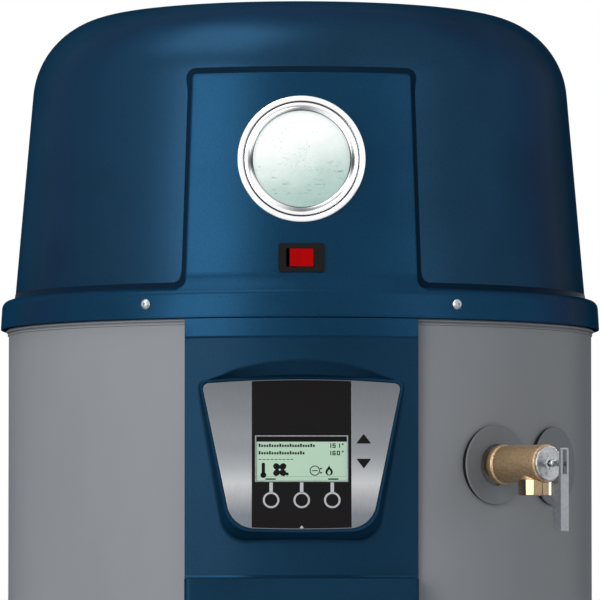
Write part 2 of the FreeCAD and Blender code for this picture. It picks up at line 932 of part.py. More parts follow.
def relief_body():
    body_end = relief_cap_face - relief_cap_rise
    inner_end = relief_inner_end()
    spud_face = inner_end + spud_length
    down = Vector(0, -1, 0)
    outlet = Vector(0, 0, relief_outlet_at)
    shank = cylinder(pipe_thread_bore, spud_length, Vector(0, 0, inner_end))
    neck = cylinder(port_boss_radius, -spud_face, Vector(0, 0, spud_face))
    collar = cylinder(relief_root_radius, relief_root_length - relief_collar)
    bevel = Part.makeCone(relief_root_radius, relief_barrel_radius - overrun, relief_collar,
                          Vector(0, 0, relief_root_length - relief_collar))
    barrel = cylinder(relief_barrel_radius, body_end)
    neck_down = cylinder(relief_neck_radius, relief_outlet_drop - relief_outlet_height / 2, outlet, down)
    octagon = aim(prism(relief_outlet_flats, relief_outlet_sides, relief_outlet_height),
                  outlet - down * (relief_outlet_height - relief_outlet_drop), down)
    whole = join([shank, neck, collar, bevel, barrel, neck_down, octagon])
    passage = cylinder(relief_passage_radius, body_end - inner_end, Vector(0, 0, inner_end))
    chamber = cylinder(relief_chamber_radius, body_end - relief_chamber_start,
                       Vector(0, 0, relief_chamber_start))
    way_out = cylinder(relief_passage_radius, relief_outlet_drop, outlet, down)
    thread = cylinder(pipe_thread_bore, relief_outlet_depth,
                      outlet - down * (relief_outlet_depth - relief_outlet_drop), down)
    return on_relief(drill(whole, [passage, chamber, way_out, thread]))


def relief_cap():
    body_end = relief_cap_face - relief_cap_rise
    plug_foot = Vector(0, 0, body_end - relief_bonnet)
    plate = cylinder(relief_cap_radius, relief_cap_rise, Vector(0, 0, body_end))
    plug = cylinder(relief_chamber_radius, relief_bonnet, plug_foot)
    boss = Part.makeCone(relief_boss_radius, relief_boss_tip, relief_boss_rise, Vector(0, 0, relief_cap_face))
    hole = cylinder(relief_stem_radius + shaft_gap, relief_bonnet + relief_cap_rise + relief_boss_rise,
                    plug_foot)
    return on_relief(join([plate, plug, boss]).cut(hole))


def lever_cross(radius, length):
    """Rod along the lever's pivot, centred on the stem."""
    return cylinder(radius, length, Vector(-length / 2, lever_pin_up, relief_cap_face + lever_pin_out),
                    Vector(1, 0, 0))


def relief_stem():
    end = relief_cap_face + relief_stem_out
    disc = cylinder(relief_disc_radius, relief_disc_gauge, Vector(0, 0, relief_disc_at))
    rod = cylinder(relief_stem_radius, end - relief_disc_at, Vector(0, 0, relief_disc_at))
    head = cylinder(relief_head_radius, relief_head_length, Vector(0, 0, end - relief_head_length))
    return on_relief(join([disc, rod, head]).cut(lever_cross(lever_pin_radius, lever_width)))


def relief_lever_pin():
    """Pivot pin with a head outside each cheek of the lever."""
    length = lever_width + 2 * lever_gauge
    heads = lever_cross(lever_pin_head, length).cut(lever_cross(lever_pin_head, lever_width + 2 * seat_gap))
    return on_relief(join([lever_cross(lever_pin_radius, length)] + heads.Solids))


def relief_lever():
    """Bent strip: an outer web with a slot, and a cheek down each side that the pin goes through."""
    near = relief_cap_face + lever_inner
    far = relief_cap_face + lever_outer
    half = lever_width / 2
    inside = half - lever_gauge
    outline = rounded([Vector(-half, lever_foot, near), Vector(-half, lever_foot, far),
                       Vector(-half, lever_top, far), Vector(-half, lever_top, near)],
                      [lever_foot_corner, lever_gauge, lever_gauge, lever_top_corner])
    whole = slab(outline, Vector(lever_width, 0, 0))
    hollow = box((-inside, lever_foot - overrun, near - overrun),
                 (inside, lever_top + overrun, far - lever_gauge))
    slot = box((-lever_slot_width / 2, lever_slot_foot, near),
               (lever_slot_width / 2, lever_slot_top, far + overrun))
    eye = lever_cross(lever_pin_radius + shaft_gap, 2 * lever_width)
    return on_relief(drill(whole, [hollow, slot, eye]))


def relief_spring():
    """Coil spring on the stem, between the valve's disc and the cap's plug."""
    foot = relief_disc_at + relief_disc_gauge
    top = relief_cap_face - relief_cap_rise - relief_bonnet - relief_lift - seat_gap
    height = top - foot - spring_wire
    coil = helix_tube(spring_radius, height / spring_turns, height, spring_wire / 2)
    coil.translate(Vector(0, 0, foot + spring_wire / 2))
    return on_relief(coil)


def relief_probe():
    """Temperature probe that reaches from the valve into the tank, carried on a spider in the bore."""
    inner_end = relief_inner_end()
    base = Vector(0, 0, inner_end)
    half = probe_spider / 2
    deep = inner_end + spud_length / 2
    rod = cylinder(probe_radius, probe_length, base + Vector(0, 0, spud_length - probe_length))
    arms = [box((-relief_passage_radius, -half, inner_end), (relief_passage_radius, half, deep)),
            box((-half, -relief_passage_radius, inner_end), (half, relief_passage_radius, deep))]
    spider = arms[0].fuse(arms[1]).common(cylinder(relief_passage_radius, spud_length, base))
    return on_relief(join([rod, spider]))


# ---------------------------------------------------------------- drain valve
def on_drain(shape):
    """Local Z is the drain's axis from the jacket's surface outwards, local Y is up."""
    return aim(shape, on_axis(drain_angle, drain_height, jacket_radius), radial(drain_angle))


def drain_valve_body():
    inner_end = relief_inner_end()
    back = fall(jacket_radius, drain_flange_radius)
    down = Vector(0, -1, 0)
    outlet = Vector(0, 0, drain_outlet_at)
    shank = cylinder(drain_shank_radius, -inner_end, Vector(0, 0, inner_end))
    flange = cylinder(drain_flange_radius, drain_flange_length + back, Vector(0, 0, -back))
    body = cylinder(drain_body_radius, drain_body_length)
    neck = cylinder(drain_neck_radius, drain_outlet_drop - drain_thread_length / 2, outlet, down)
    thread = cylinder(drain_thread_radius, drain_thread_length,
                      outlet - down * (drain_thread_length - drain_outlet_drop), down)
    bonnet = prism(drain_bonnet_hex, 6, drain_bonnet_length)
    bonnet.translate(Vector(0, 0, drain_body_length))
    outside = on_drain(join([flange, body, neck, thread, bonnet])).cut(cylinder(jacket_radius, rim_height))
    passage = cylinder(drain_bore, drain_outlet_at - inner_end, Vector(0, 0, inner_end))
    seat = cylinder(drain_bore, drain_body_length - drain_outlet_at, outlet)
    way_out = cylinder(drain_bore, drain_outlet_drop, outlet, down)
    gland = cylinder(drain_stem_radius + shaft_gap, drain_bonnet_length + overrun,
                     Vector(0, 0, drain_body_length - overrun))
    return drill(outside.fuse(on_drain(shank)).removeSplitter(),
                 [on_drain(tool) for tool in (passage, seat, way_out, gland)])


def drain_valve_knob():
    """Lobed hand wheel on its stem."""
    start = drain_body_length + drain_bonnet_length + knob_gap
    wheel = cylinder(knob_radius, knob_length, Vector(0, 0, start))
    reach = knob_radius + knob_scallop_out
    scallops = []
    for i in range(knob_lobes):
        turn = 2 * math.pi * i / knob_lobes
        scallops.append(cylinder(knob_scallop, knob_length,
                                 Vector(reach * math.cos(turn), reach * math.sin(turn), start)))
    hub = cylinder(knob_hub_radius, knob_gap - seat_gap + overrun, Vector(0, 0, start - knob_gap + seat_gap))
    stem_start = Vector(0, 0, drain_body_length - drain_stem_inside)
    stem = cylinder(drain_stem_radius, start + overrun - stem_start.z, stem_start)
    plug = cylinder(drain_bore - seat_gap, drain_plug_length, stem_start)
    return on_drain(join([drill(wheel, scallops), hub, stem, plug]))


# ---------------------------------------------------------------- heat pump
def compressor():
    """Sealed can with a domed top on a plate with feet."""
    x, y = compressor_place
    foot = floor + grommet_height
    can_foot = foot + foot_gauge / 2
    can = cylinder(compressor_radius, compressor_height, Vector(x, y, can_foot))
    big = crown_radius(compressor_radius, compressor_dome)
    top = can_foot + compressor_height
    ball = Part.makeSphere(big, Vector(x, y, top + compressor_dome - big))
    dome = ball.common(cylinder(compressor_radius, compressor_dome + overrun, Vector(x, y, top - overrun)))
    plate = cylinder(compressor_radius - foot_gauge, foot_gauge, Vector(x, y, foot))
    feet = []
    holes = []
    for spot in foot_spots():
        arm = box((0, -foot_width / 2, 0), (compressor_foot_radius, foot_width / 2, foot_gauge))
        turn = math.degrees(math.atan2(spot.y - y, spot.x - x))
        arm.rotate(Vector(0, 0, 0), Vector(0, 0, 1), turn)
        arm.translate(Vector(x, y, foot))
        end = Vector(spot.x, spot.y, foot)
        feet += [arm, cylinder(foot_width / 2, foot_gauge, end)]
        holes.append(cylinder(bolt_radius + seat_gap, foot_gauge, end))
    return drill(join([can, dome, plate] + feet), holes)


def foot_spots():
    x, y = compressor_place
    middle = Vector(x, y, floor)
    turns = [180 + 360.0 / foot_count * i for i in range(foot_count)]
    return [middle + radial(turn) * compressor_foot_radius for turn in turns]


def compressor_grommets():
    rings = [ring(grommet_radius, bolt_radius, grommet_height, spot) for spot in foot_spots()]
    return Part.makeCompound(rings)


def compressor_bolts():
    bolts = []
    top = grommet_height + foot_gauge
    for spot in foot_spots():
        shank = cylinder(bolt_radius, top, spot)
        head = prism(2 * bolt_head_radius, 6, bolt_head_height)
        head.translate(spot + Vector(0, 0, top))
        bolts.append(shank.fuse(head))
    return Part.makeCompound(bolts)


def tube_row_places():
    """Height and depth of each run of tube through the fins."""
    start = floor + pan_height + 2 * evap_tube_radius
    end = floor + pan_wall + coil_block_height - 2 * evap_tube_radius
    middle = coil_block_front + coil_block_depth / 2
    pitch = (end - start) / (evap_rows - 1)
    return [Vector(0, middle, start + pitch * i) for i in range(evap_rows)]


def evaporator_fins():
    """Pack of thin plates that the tube passes through."""
    fins = []
    pitch = coil_block_width / (fin_count - 1)
    low = floor + pan_wall
    half = fin_gauge / 2
    pattern = box((-half, coil_block_front, low),
                  (half, coil_block_front + coil_block_depth, low + coil_block_height))
    pattern = drill(pattern, [cylinder(evap_tube_radius, 2 * fin_gauge, spot - Vector(fin_gauge, 0, 0),
                                       Vector(1, 0, 0)) for spot in tube_row_places()])
    for i in range(fin_count):
        fin = pattern.copy()
        fin.translate(Vector(-coil_block_width / 2 + pitch * i, 0, 0))
        fins.append(fin)
    return Part.makeCompound(fins)


def tube_reach():
    """How far the bends of the evaporator's tube stand out from its middle."""
    return coil_block_width / 2 + 4 * evap_tube_radius


def evaporator_tubes():
    """One tube that runs to and fro through the fins."""
    rows = tube_row_places()
    points = []
    side = -1
    for row in rows:
        points += [row + Vector(side * tube_reach(), 0, 0), row - Vector(side * tube_reach(), 0, 0)]
        side = -side
    bend = (rows[1].z - rows[0].z - shaft_gap) / 2
    return tube(points, bend, evap_tube_radius)


def condensate_pan():
    """Tray under the fins with a spigot out through the back of the shroud."""
    middle = coil_block_front + coil_block_depth / 2
    low = (-pan_width / 2, middle - pan_depth / 2, floor)
    high = (pan_width / 2, middle + pan_depth / 2, floor + pan_height)
    tray = box(low, high)
    hollow = box((low[0] + pan_wall, low[1] + pan_wall, floor + pan_wall),
                 (high[0] - pan_wall, high[1] - pan_wall, floor + pan_height + overrun))
    start = high[1] - pan_wall
    free = rim_outer + seam_gap
    spout = Vector(0, start, floor + pan_height / 2)
    back = Vector(0, 1, 0)
    neck = cylinder(spigot_neck, free - start, spout, back)
    spigot = cylinder(spigot_radius, spigot_length, spout + back * (free - start), back)
    bore = cylinder(spigot_bore, free - start + spigot_length, spout, back)
    return drill(join([tray, neck, spigot]), [hollow, bore])


def fan_plane():
    """Distance behind the axis of the fan shroud's plate."""
    return coil_block_front - seat_gap - fan_plate_gauge


def fan_shroud():
    """Plate against the fins with a round duct, and arms that carry the motor."""
    plane = fan_plane()
    near = plane - orifice_length
    front = Vector(0, -1, 0)
    centre = Vector(0, plane, floor + fan_height)
    inside = fan_radius + fan_tip_gap
    outside = inside + fan_plate_gauge
    low = floor + pan_height + seat_gap
    plate = box((-fan_plate_width / 2, plane, low),
                (fan_plate_width / 2, plane + fan_plate_gauge, low + fan_plate_height - pan_height))
    duct = cylinder(outside, orifice_length, centre, front)
    mouth = cylinder(inside, orifice_length + 2 * fan_plate_gauge,
                     centre + Vector(0, 2 * fan_plate_gauge, 0), front)
    collar = cylinder(motor_radius + fan_plate_gauge, strut_width, Vector(0, near, centre.z), front)
    arms = []
    for i in range(fan_arms):
        arm = box((-strut_width / 2, near - strut_width, motor_radius),
                  (strut_width / 2, near + fan_plate_gauge, outside))
        arm.rotate(Vector(0, 0, 0), Vector(0, 1, 0), 360.0 / fan_arms * (i + 0.5))
        arm.translate(Vector(0, 0, centre.z))
        arms.append(arm)
    hole = cylinder(motor_radius, 2 * strut_width, Vector(0, near + strut_width / 2, centre.z), front)
    clear = cylinder(inside, orifice_length - fan_plate_gauge, centre + Vector(0, fan_plate_gauge, 0), front)
    return drill(join([plate.fuse(duct).cut(mouth), collar] + arms), [hole, clear])


def fan_motor():
    """Motor in the collar of the fan shroud, its shaft pointing back through the fan."""
    near = fan_plane() - orifice_length
    centre = floor + fan_height
    end = near - motor_gap / 2
    back = Vector(0, 1, 0)
    body = cylinder(motor_radius, motor_length, Vector(0, end - motor_length, centre), back)
    rib = ring(motor_radius + fan_plate_gauge, motor_radius - overrun, fan_plate_gauge,
               Vector(0, near - strut_width - fan_plate_gauge, centre), back)
    shaft = cylinder(motor_shaft_radius, motor_gap + fan_hub_length, Vector(0, end - overrun, centre), back)
    return join([body, rib, shaft])


def fan_rotor():
    """Hub and pitched blades, local Z along the shaft."""
    hub = cylinder(fan_hub_radius, fan_hub_length)
    half = fan_blade_gauge / 2
    half_chord = fan_hub_length / math.sin(math.radians(fan_pitch)) * blade_fill / 2
    blades = []
    for i in range(fan_blades):
        blade = box((-half, fan_hub_radius - fan_blade_gauge, -half_chord),
                    (half, fan_radius + fan_blade_gauge, half_chord))
        blade.rotate(Vector(0, 0, 0), Vector(0, 1, 0), 90 - fan_pitch)
        blade.translate(Vector(0, 0, fan_hub_length / 2))
        blade.rotate(Vector(0, 0, 0), Vector(0, 0, 1), 360.0 / fan_blades * i)
        blades.append(blade)
    whole = join([hub] + blades).common(cylinder(fan_radius, fan_hub_length))
    whole = whole.cut(cylinder(motor_shaft_radius + shaft_gap, fan_hub_length))
    start = fan_plane() - orifice_length + motor_gap / 2
    return aim(whole, Vector(0, start, floor + fan_height), Vector(0, 1, 0))


def filter_top():
    return rim_height + shroud_height + crown_rise


def air_filter():
    """Framed mesh that draws up out of the roof, with a lid and a finger grip on top."""
    low = floor + filter_foot
    lid_foot = filter_top() + seat_gap
    half = filter_width / 2
    near = filter_plane
    far = filter_plane + filter_gauge
    middle = (near + far) / 2
    inner = half - filter_border
    window_low = low + filter_border
    window_top = filter_top() - 3 * filter_border
    frame = box((-half, near, low), (half, far, lid_foot + overrun))
    window = box((-inner, near - overrun, window_low), (inner, far + overrun, window_top))
    mesh = box((-inner, middle - filter_mesh_gauge / 2, window_low),
               (inner, middle + filter_mesh_gauge / 2, window_top))
    pitch = 2 * inner / (filter_ribs + 1)
    ribs = []
    for i in range(filter_ribs):
        left = -inner + pitch * (i + 1) - filter_rib_width / 2
        right = left + filter_rib_width
        ribs.append(box((left, near + overrun, window_low), (right, far - overrun, window_top)))
    lid = box((-half - filter_lid_margin, near - filter_lid_margin, lid_foot),
              (half + filter_lid_margin, far + filter_lid_margin, lid_foot + filter_lid_gauge))
    upright = [edge for edge in lid.Edges if abs(edge.tangentAt(edge.FirstParameter).z) > 0.9]
    lid = lid.makeFillet(filter_lid_corner, upright)
    grip_foot = filter_top() + filter_lid_gauge
    grip = box((-filter_grip_width / 2, middle - filter_grip_gauge / 2, grip_foot),
               (filter_grip_width / 2, middle + filter_grip_gauge / 2, grip_foot + filter_grip_height))
    return join([frame.cut(window), mesh] + ribs + [lid, grip])


def filter_rails():
    """Two channels that the filter's edges slide in, standing on the floor."""
    rails = []
    high = floor + shroud_height - shoulder_radius
    edge = filter_width / 2 + slide_gap
    groove_near = filter_plane - slide_gap
    groove_far = filter_plane + filter_gauge + slide_gap
    for side in (-1, 1):
        left, right = sorted([side * (edge - rail_grip), side * (edge + rail_gauge)])
        rail = box((left, groove_near - rail_gauge, floor), (right, groove_far + rail_gauge, high))
        left, right = sorted([side * (edge - rail_grip - overrun), side * edge])
        groove = box((left, groove_near, floor - overrun), (right, groove_far, high + overrun))
        rails.append(rail.cut(groove))
    return Part.makeCompound(rails)


def filter_drier():
    """Upright canister held by a strap from the floor."""
    x, y = drier_place
    low = floor + drier_rise
    face = y - drier_radius
    body = cylinder(drier_radius, drier_length, Vector(x, y, low))
    ends = [Part.makeCone(drier_mouth, drier_radius, drier_radius, Vector(x, y, low - drier_radius)),
            Part.makeCone(drier_radius, drier_mouth, drier_radius, Vector(x, y, low + drier_length))]
    left = x - strap_width / 2
    right = x + strap_width / 2
    strap = box((left, face - strap_gauge, floor), (right, face + strap_gauge / 2, low + drier_length / 2))
    foot = box((left, face - strap_width, floor), (right, face, floor + strap_gauge))
    return join([body] + ends + [strap, foot])


def valve_place():
    """Lower middle of the expansion valve's block."""
    return Vector(drier_place[0], drier_place[1] + valve_spacing, floor + valve_rise)


def expansion_valve():
    """Block with a powered head, between the drier and the fins."""
    low = valve_place()
    half = valve_block / 2
    half_strap = strap_width / 2
    left = low.x - half
    block = box((left, low.y - half, low.z), (low.x + half, low.y + half, low.z + valve_block))
    head = cylinder(valve_head_radius, valve_head_height, low + Vector(0, 0, valve_block))
    post = box((left, low.y - half_strap, floor), (left + strap_gauge, low.y + half_strap, low.z))
    foot = box((left - strap_width, low.y - half_strap, floor),
               (left, low.y + half_strap, floor + strap_gauge))
    return join([block, head, post, foot])


def refrigerant_lines():
    """Copper runs between compressor, condenser, drier, expansion valve and fins."""
    cx, cy = compressor_place
    x, y = drier_place
    rows = tube_row_places()
    hot_end, cool_end = line_spots()
    can_top = floor + grommet_height + foot_gauge / 2 + compressor_height + compressor_dome
    over = can_top + line_over
    drier_low = floor + drier_rise - drier_radius
    drier_high = floor + drier_rise + drier_length + drier_radius
    valve = valve_place()
    side = valve.x + valve_block / 2
    valve_mid = valve.z + valve_block / 2
    behind = cx - line_bend - 2 * line_radius
    runs = [
        [Vector(cx, cy, can_top - overrun), Vector(cx, cy, over), hot_end + Vector(0, 0, over),
         hot_end + Vector(0, 0, coil_low + coil_pitch * coil_turns)],
        [cool_end + Vector(0, 0, coil_low), cool_end + Vector(0, 0, drier_high + line_over),
         Vector(x, y, drier_high + line_over), Vector(x, y, drier_high)],
        [Vector(x, y, drier_low), Vector(x, y, drier_low - line_drop),
         Vector(x, valve.y, drier_low - line_drop), valve],
        [Vector(side, valve.y, valve_mid), Vector(side + line_out, valve.y, valve_mid),
         Vector(side + line_out, rows[-1].y, valve_mid),
         Vector(side + line_out, rows[-1].y, rows[-1].z), rows[-1] + Vector(tube_reach(), 0, 0)],
        [rows[0] - Vector(tube_reach(), 0, 0), Vector(behind, rows[0].y, rows[0].z),
         Vector(behind, cy, rows[0].z)],
    ]
    can = compressor()
    return Part.makeCompound([tube(run, line_bend, line_radius).cut(can) for run in runs])


# ---------------------------------------------------------------- shroud and front cover
def dome_radius_at(rise):
    """Outer radius of the leaning wall at a height above the rim."""
    return dome_base_radius - math.tan(lean) * rise


def dome_wire(offset):
    """Half section of the dome, moved in or out from its outer face, closed along the axis."""
    big = shoulder_radius + offset
    centre_z = shroud_height - shoulder_radius
    tangent_rise = centre_z + shoulder_radius * math.sin(lean)
    centre_r = dome_radius_at(tangent_rise) - shoulder_radius * math.cos(lean)
    centre = Vector(centre_r, 0, floor + centre_z)

    def shoulder(turn):
        return centre + Vector(math.cos(turn), 0, math.sin(turn)) * big

    base = Vector(0, 0, floor)
    foot = Vector(dome_base_radius + offset / math.cos(lean), 0, floor)
    wall_top = shoulder(lean)
    roof = shoulder(math.pi / 2)
    half = centre_r / 2
    top = Vector(0, 0, roof.z + crown_rise)
    crown = Vector(half, 0, top.z - fall(crown_radius(centre_r, crown_rise), half))
    edges = [line(base, foot), line(foot, wall_top),
             Part.Arc(wall_top, shoulder((math.pi / 2 + lean) / 2), roof).toShape(),
             Part.Arc(roof, crown, top).toShape(), line(top, base)]
    return Part.Wire(edges)


def dome_solid(offset):
    return spin(dome_wire(offset))


def rim_band(start, clear):
    """Half turn of the rim: a band, a rounded shoulder and a ledge in to the dome."""
    inner_ledge = dome_radius_at(rim_height_band - rim_wall) + clear
    outer = [Vector(rim_outer, 0, floor), Vector(rim_upper, 0, floor + rim_height_band),
             Vector(inner_ledge, 0, floor + rim_height_band),
             Vector(inner_ledge, 0, floor + rim_height_band - rim_wall),
             Vector(rim_upper - rim_wall, 0, floor + rim_height_band - rim_wall),
             Vector(rim_outer - rim_wall, 0, floor)]
    radii = [0, rim_fillet, 0, 0, rim_fillet - rim_wall, 0]
    return spin(rounded(outer, radii), 180.0, start)


def screw_spots():
    """Angles of the cover screws: two in the front cover, two in the back of the shroud."""
    return (-screw_angle, screw_angle, 180 - screw_angle, 180 + screw_angle)


def screw_seat():
    """Distance from the axis at which a screw's head sits, just off the rim's curve."""
    return rim_outer - (rim_outer - rim_upper) * screw_height / rim_height_band + seat_gap


def shroud():
    """Dome with the back half of the rim, an access window, louvres, filter slot and screw bosses."""
    shell = dome_solid(0).cut(dome_solid(-dome_wall))
    back = rim_band(0.0, -dome_wall / 2)
    bosses = []
    tools = []
    for angle in screw_spots():
        seat = screw_seat() - rim_wall - 2 * seat_gap
        start = on_axis(angle, floor + screw_height, dome_base_radius - dome_wall)
        bosses.append(cylinder(screw_boss_radius, seat - dome_base_radius + dome_wall, start, radial(angle)))
        tools.append(cylinder(screw_shank_radius, rim_outer, on_axis(angle, floor + screw_height, 0),
                              radial(angle)))
    tools.append(box((-access_half_width, -rim_outer, floor + access_low),
                     (access_half_width, -dome_base_radius / 2, floor + access_high)))
    tools.append(filter_slot())
    tools += louvre_slots()
    tools.append(cylinder(spigot_radius + seat_gap, rim_outer, Vector(0, 0, floor + pan_height / 2),
                          Vector(0, 1, 0)))
    return drill(join([shell, back] + bosses), tools)


def filter_slot():
    half = filter_width / 2 + slide_gap
    return box((-half, filter_plane - slide_gap, floor + shoulder_radius),
               (half, filter_plane + filter_gauge + slide_gap, filter_top() + overrun))


def louvre_slots():
    slots = []
    for angle in louvre_angles:
        for i in range(louvre_count):
            low = floor + louvre_low + louvre_pitch * i
            slot = box((-louvre_width / 2, dome_base_radius / 2, low),
                       (louvre_width / 2, rim_outer, low + louvre_height))
            slot.rotate(Vector(0, 0, 0), Vector(0, 0, 1), angle - 180)
            slots.append(slot)
    return slots


def panel_outline():
    """Front panel's outline: upright sides that flare out into the rim at the foot."""
    top = floor + panel_top
    foot = floor + panel_foot
    low = floor + rim_height_band - rim_wall
    wide = panel_half_foot + 4 * panel_flare
    points = [Vector(-panel_half_top, 0, top), Vector(-panel_half_foot, 0, foot), Vector(-wide, 0, foot),
              Vector(-wide, 0, low), Vector(wide, 0, low), Vector(wide, 0, foot),
              Vector(panel_half_foot, 0, foot), Vector(panel_half_top, 0, top)]
    radii = [panel_corner, panel_flare, 0, 0, 0, 0, panel_flare, panel_corner]
    return rounded(points, radii)


def front_cover():
    """Upright panel over the dome's face, widening into the front half of the rim."""
    band = rim_band(180.0, 2 * cover_clear)
    skin = dome_solid(cover_proud).cut(dome_solid(cover_clear))
    outline = panel_outline()
    outline.translate(Vector(0, -rim_outer, 0))
    panel = skin.common(slab(outline, Vector(0, rim_outer / 2, 0)))
    whole = join([band, panel])
    tools = [cylinder(screw_shank_radius + seat_gap, rim_outer, on_axis(angle, floor + screw_height, 0),
                      radial(angle)) for angle in screw_spots()[:2]]
    half = rocker_body_width / 2 + seat_gap
    tall = rocker_body_height / 2 + seat_gap
    tools.append(box((-half, -rim_outer, floor + rocker_height - tall),
                     (half, -dome_base_radius / 2, floor + rocker_height + tall)))
    return drill(whole, tools)


def cover_screws():
    """Pan head screws with a hexagon socket."""
    screws = []
    for angle in screw_spots():
        big = crown_radius(screw_head_radius, screw_head_rise)
        ball = Part.makeSphere(big, Vector(0, 0, screw_head_rise - big))
        head = ball.common(cylinder(screw_head_radius, screw_head_rise))
        shank = cylinder(screw_shank_radius, screw_reach + overrun, Vector(0, 0, -screw_reach))
        socket = prism(hex_socket, 6, screw_head_rise)
        socket.translate(Vector(0, 0, screw_head_rise / 3))
        screw = head.fuse(shank).cut(socket)
        screws.append(aim(screw, on_axis(angle, floor + screw_height, screw_seat()), radial(angle)))
    return Part.makeCompound(screws)


# ---------------------------------------------------------------- badge and rocker switch
def on_badge(shape):
    """Local Z is the badge's axis, zero at the front cover's face, local Y up the slope."""
    face = dome_radius_at(badge_height) + cover_proud / math.cos(lean)
    axis = Vector(0, -math.cos(lean), math.sin(lean))
    return aim(shape, Vector(0, -face, floor + badge_height), axis)


def badge_ring():
    """Raised ring with a stepped face, its back cut to the cover's curve."""
    inner = badge_disc_radius + seat_gap
    step = badge_proud / 4
    points = [(badge_radius, -badge_depth), (badge_radius, badge_proud - step),
              (badge_radius - step, badge_proud), (inner + step, badge_proud), (inner, badge_proud - step),
              (inner, -badge_depth)]
    return on_badge(revolve(points)).cut(dome_solid(cover_proud))


def badge_disc():
    disc = cylinder(badge_disc_radius, badge_depth + badge_disc_proud, Vector(0, 0, -badge_depth))
    return on_badge(disc).cut(dome_solid(cover_proud))


def rocker_face():
    """How far in front of the axis the rocker's bezel face lies."""
    return dome_radius_at(rocker_height) + cover_proud / math.cos(lean) + rocker_bezel_proud


def rocker_housing():
    """Flanged box, open at the front, that snaps into the front cover."""
    face = rocker_face()
    back = face - rocker_bezel_proud - overrun
    mid = floor + rocker_height
    half_w = rocker_bezel_width / 2
    half_h = rocker_bezel_height / 2
    corners = [Vector(-half_w, -face, mid - half_h), Vector(half_w, -face, mid - half_h),
               Vector(half_w, -face, mid + half_h), Vector(-half_w, -face, mid + half_h)]
    flange = slab(rounded(corners, [rocker_bezel_corner] * 4), Vector(0, rocker_bezel_proud + overrun, 0))
    flange = flange.cut(dome_solid(cover_proud))
    body = box((-rocker_body_width / 2, -back - overrun, mid - rocker_body_height / 2),
               (rocker_body_width / 2, -face + rocker_body_depth, mid + rocker_body_height / 2))
    tilt = math.radians(rocker_tilt)
    rim = rocker_depth + rocker_width / 2 * math.sin(tilt)
    well_half = rocker_width / 2 * math.cos(tilt) ** 2 + rim * math.sin(tilt) + slide_gap
    tall_half = rocker_tall / 2 + slide_gap
    well = box((rocker_offset - well_half, -face - overrun, mid - tall_half),
               (rocker_offset + well_half, -face + rocker_body_depth - rocker_body_wall, mid + tall_half))
    pin_foot = mid - rocker_body_height / 2 + shaft_gap
    pin = cylinder(rocker_pin_radius + shaft_gap, rocker_body_height - 2 * shaft_gap,
                   Vector(rocker_offset, -face + rocker_depth, pin_foot))
    return drill(flange.fuse(body).removeSplitter(), [well, pin])


def rocker_switch():
    """Rocker with two faces that meet in a shallow V, its right side pressed in at rest."""
    half = rocker_width / 2
    tilt = math.radians(rocker_tilt)
    end = half * math.cos(tilt)
    rim = rocker_depth + half * math.sin(tilt)
    heel = -2 * rocker_pin_radius
    points = [Vector(-end, rim, 0), Vector(0, rocker_depth, 0), Vector(end, rim, 0),
              Vector(end - rocker_heel, heel, 0), Vector(-end + rocker_heel, heel, 0)]
    block = Part.Face(Part.makePolygon(points + points[:1])).extrude(Vector(0, 0, rocker_tall))
    block.translate(Vector(0, 0, -rocker_tall / 2))
    pin_half = rocker_body_height / 2 - 2 * shaft_gap
    pin = cylinder(rocker_pin_radius, 2 * pin_half, Vector(0, 0, -pin_half))
    whole = join([block, pin])
    whole.rotate(Vector(0, 0, 0), Vector(0, 0, 1), 180 + rocker_tilt)
    whole.translate(Vector(rocker_offset, rocker_depth - rocker_face(), floor + rocker_height))
    return whole


# ---------------------------------------------------------------- control cover and panel
def on_panel(shape):
    """Local Z points out of the control panel, local Y up its slope, zero at its upper edge."""
    tilt = math.radians(bezel_tilt)
    axis = Vector(0, -math.cos(tilt), math.sin(tilt))
    return aim(shape, Vector(0, -bezel_top_front, floor - bezel_top_drop), axis)


def panel_shape(side=0.0, top=0.0, foot=0.0, level=0.0):
    """Shield outline of the control panel with margins, at a level in front of its face."""
    half_top = bezel_half_top + side
    half_foot = bezel_half_foot + side
    upper = top - bezel_arch
    lower = -bezel_length - foot
    apex = upper + bezel_arch / (1 - arch_share / 2)
    middle_low = lower - bezel_belly
    points = [Vector(0, apex, level), Vector(half_top, upper, level), Vector(half_foot, lower, level),
              Vector(0, middle_low, level), Vector(-half_foot, lower, level), Vector(-half_top, upper, level)]
    slope = math.atan2(apex - upper, half_top)
    belly = math.atan2(bezel_belly, half_foot)
    corner = bezel_top_corner
    big = bezel_foot_corner
    arch_radius = arch_share * half_top / math.tan(slope)
    belly_radius = belly_share * half_foot / math.tan(belly)
    return rounded(points, [arch_radius, corner, big, belly_radius, big, corner])


def strip_profile(offset):
    """Half section of the control cover's curved front, moved in by offset."""
    top = floor - seam_gap
    step = floor - strip_band_height
    foot = floor - control_cover_height
    return [(0, top), (strip_band_radius - offset, top), (strip_band_radius - offset, step),
            (strip_upper_radius - offset, step - strip_step), (strip_lower_radius - offset, foot), (0, foot)]


def cover_back():
    """Distance from the axis behind which the front covers don't reach."""
    return jacket_radius - 2 * fall(jacket_radius, strip_half_width)


def strip_form(offset):
    """Front of the control cover as a solid, cut to the strip's width."""
    form = revolve(strip_profile(offset))
    half = strip_half_width - offset
    low = floor - control_cover_height + offset
    high = floor - seam_gap - offset
    return form.common(box((-half, -strip_band_radius, low), (half, -cover_back(), high)))


def pod_form(rim, level):
    """Tapered pod that carries the panel, from a level in front of the panel's face back to the jacket."""
    near = panel_shape(rim, rim, rim, level)
    far = panel_shape(rim + pod_flare_side, rim, rim + pod_flare_foot, level - pod_depth)
    return on_panel(Part.makeLoft([near, far], True, True))


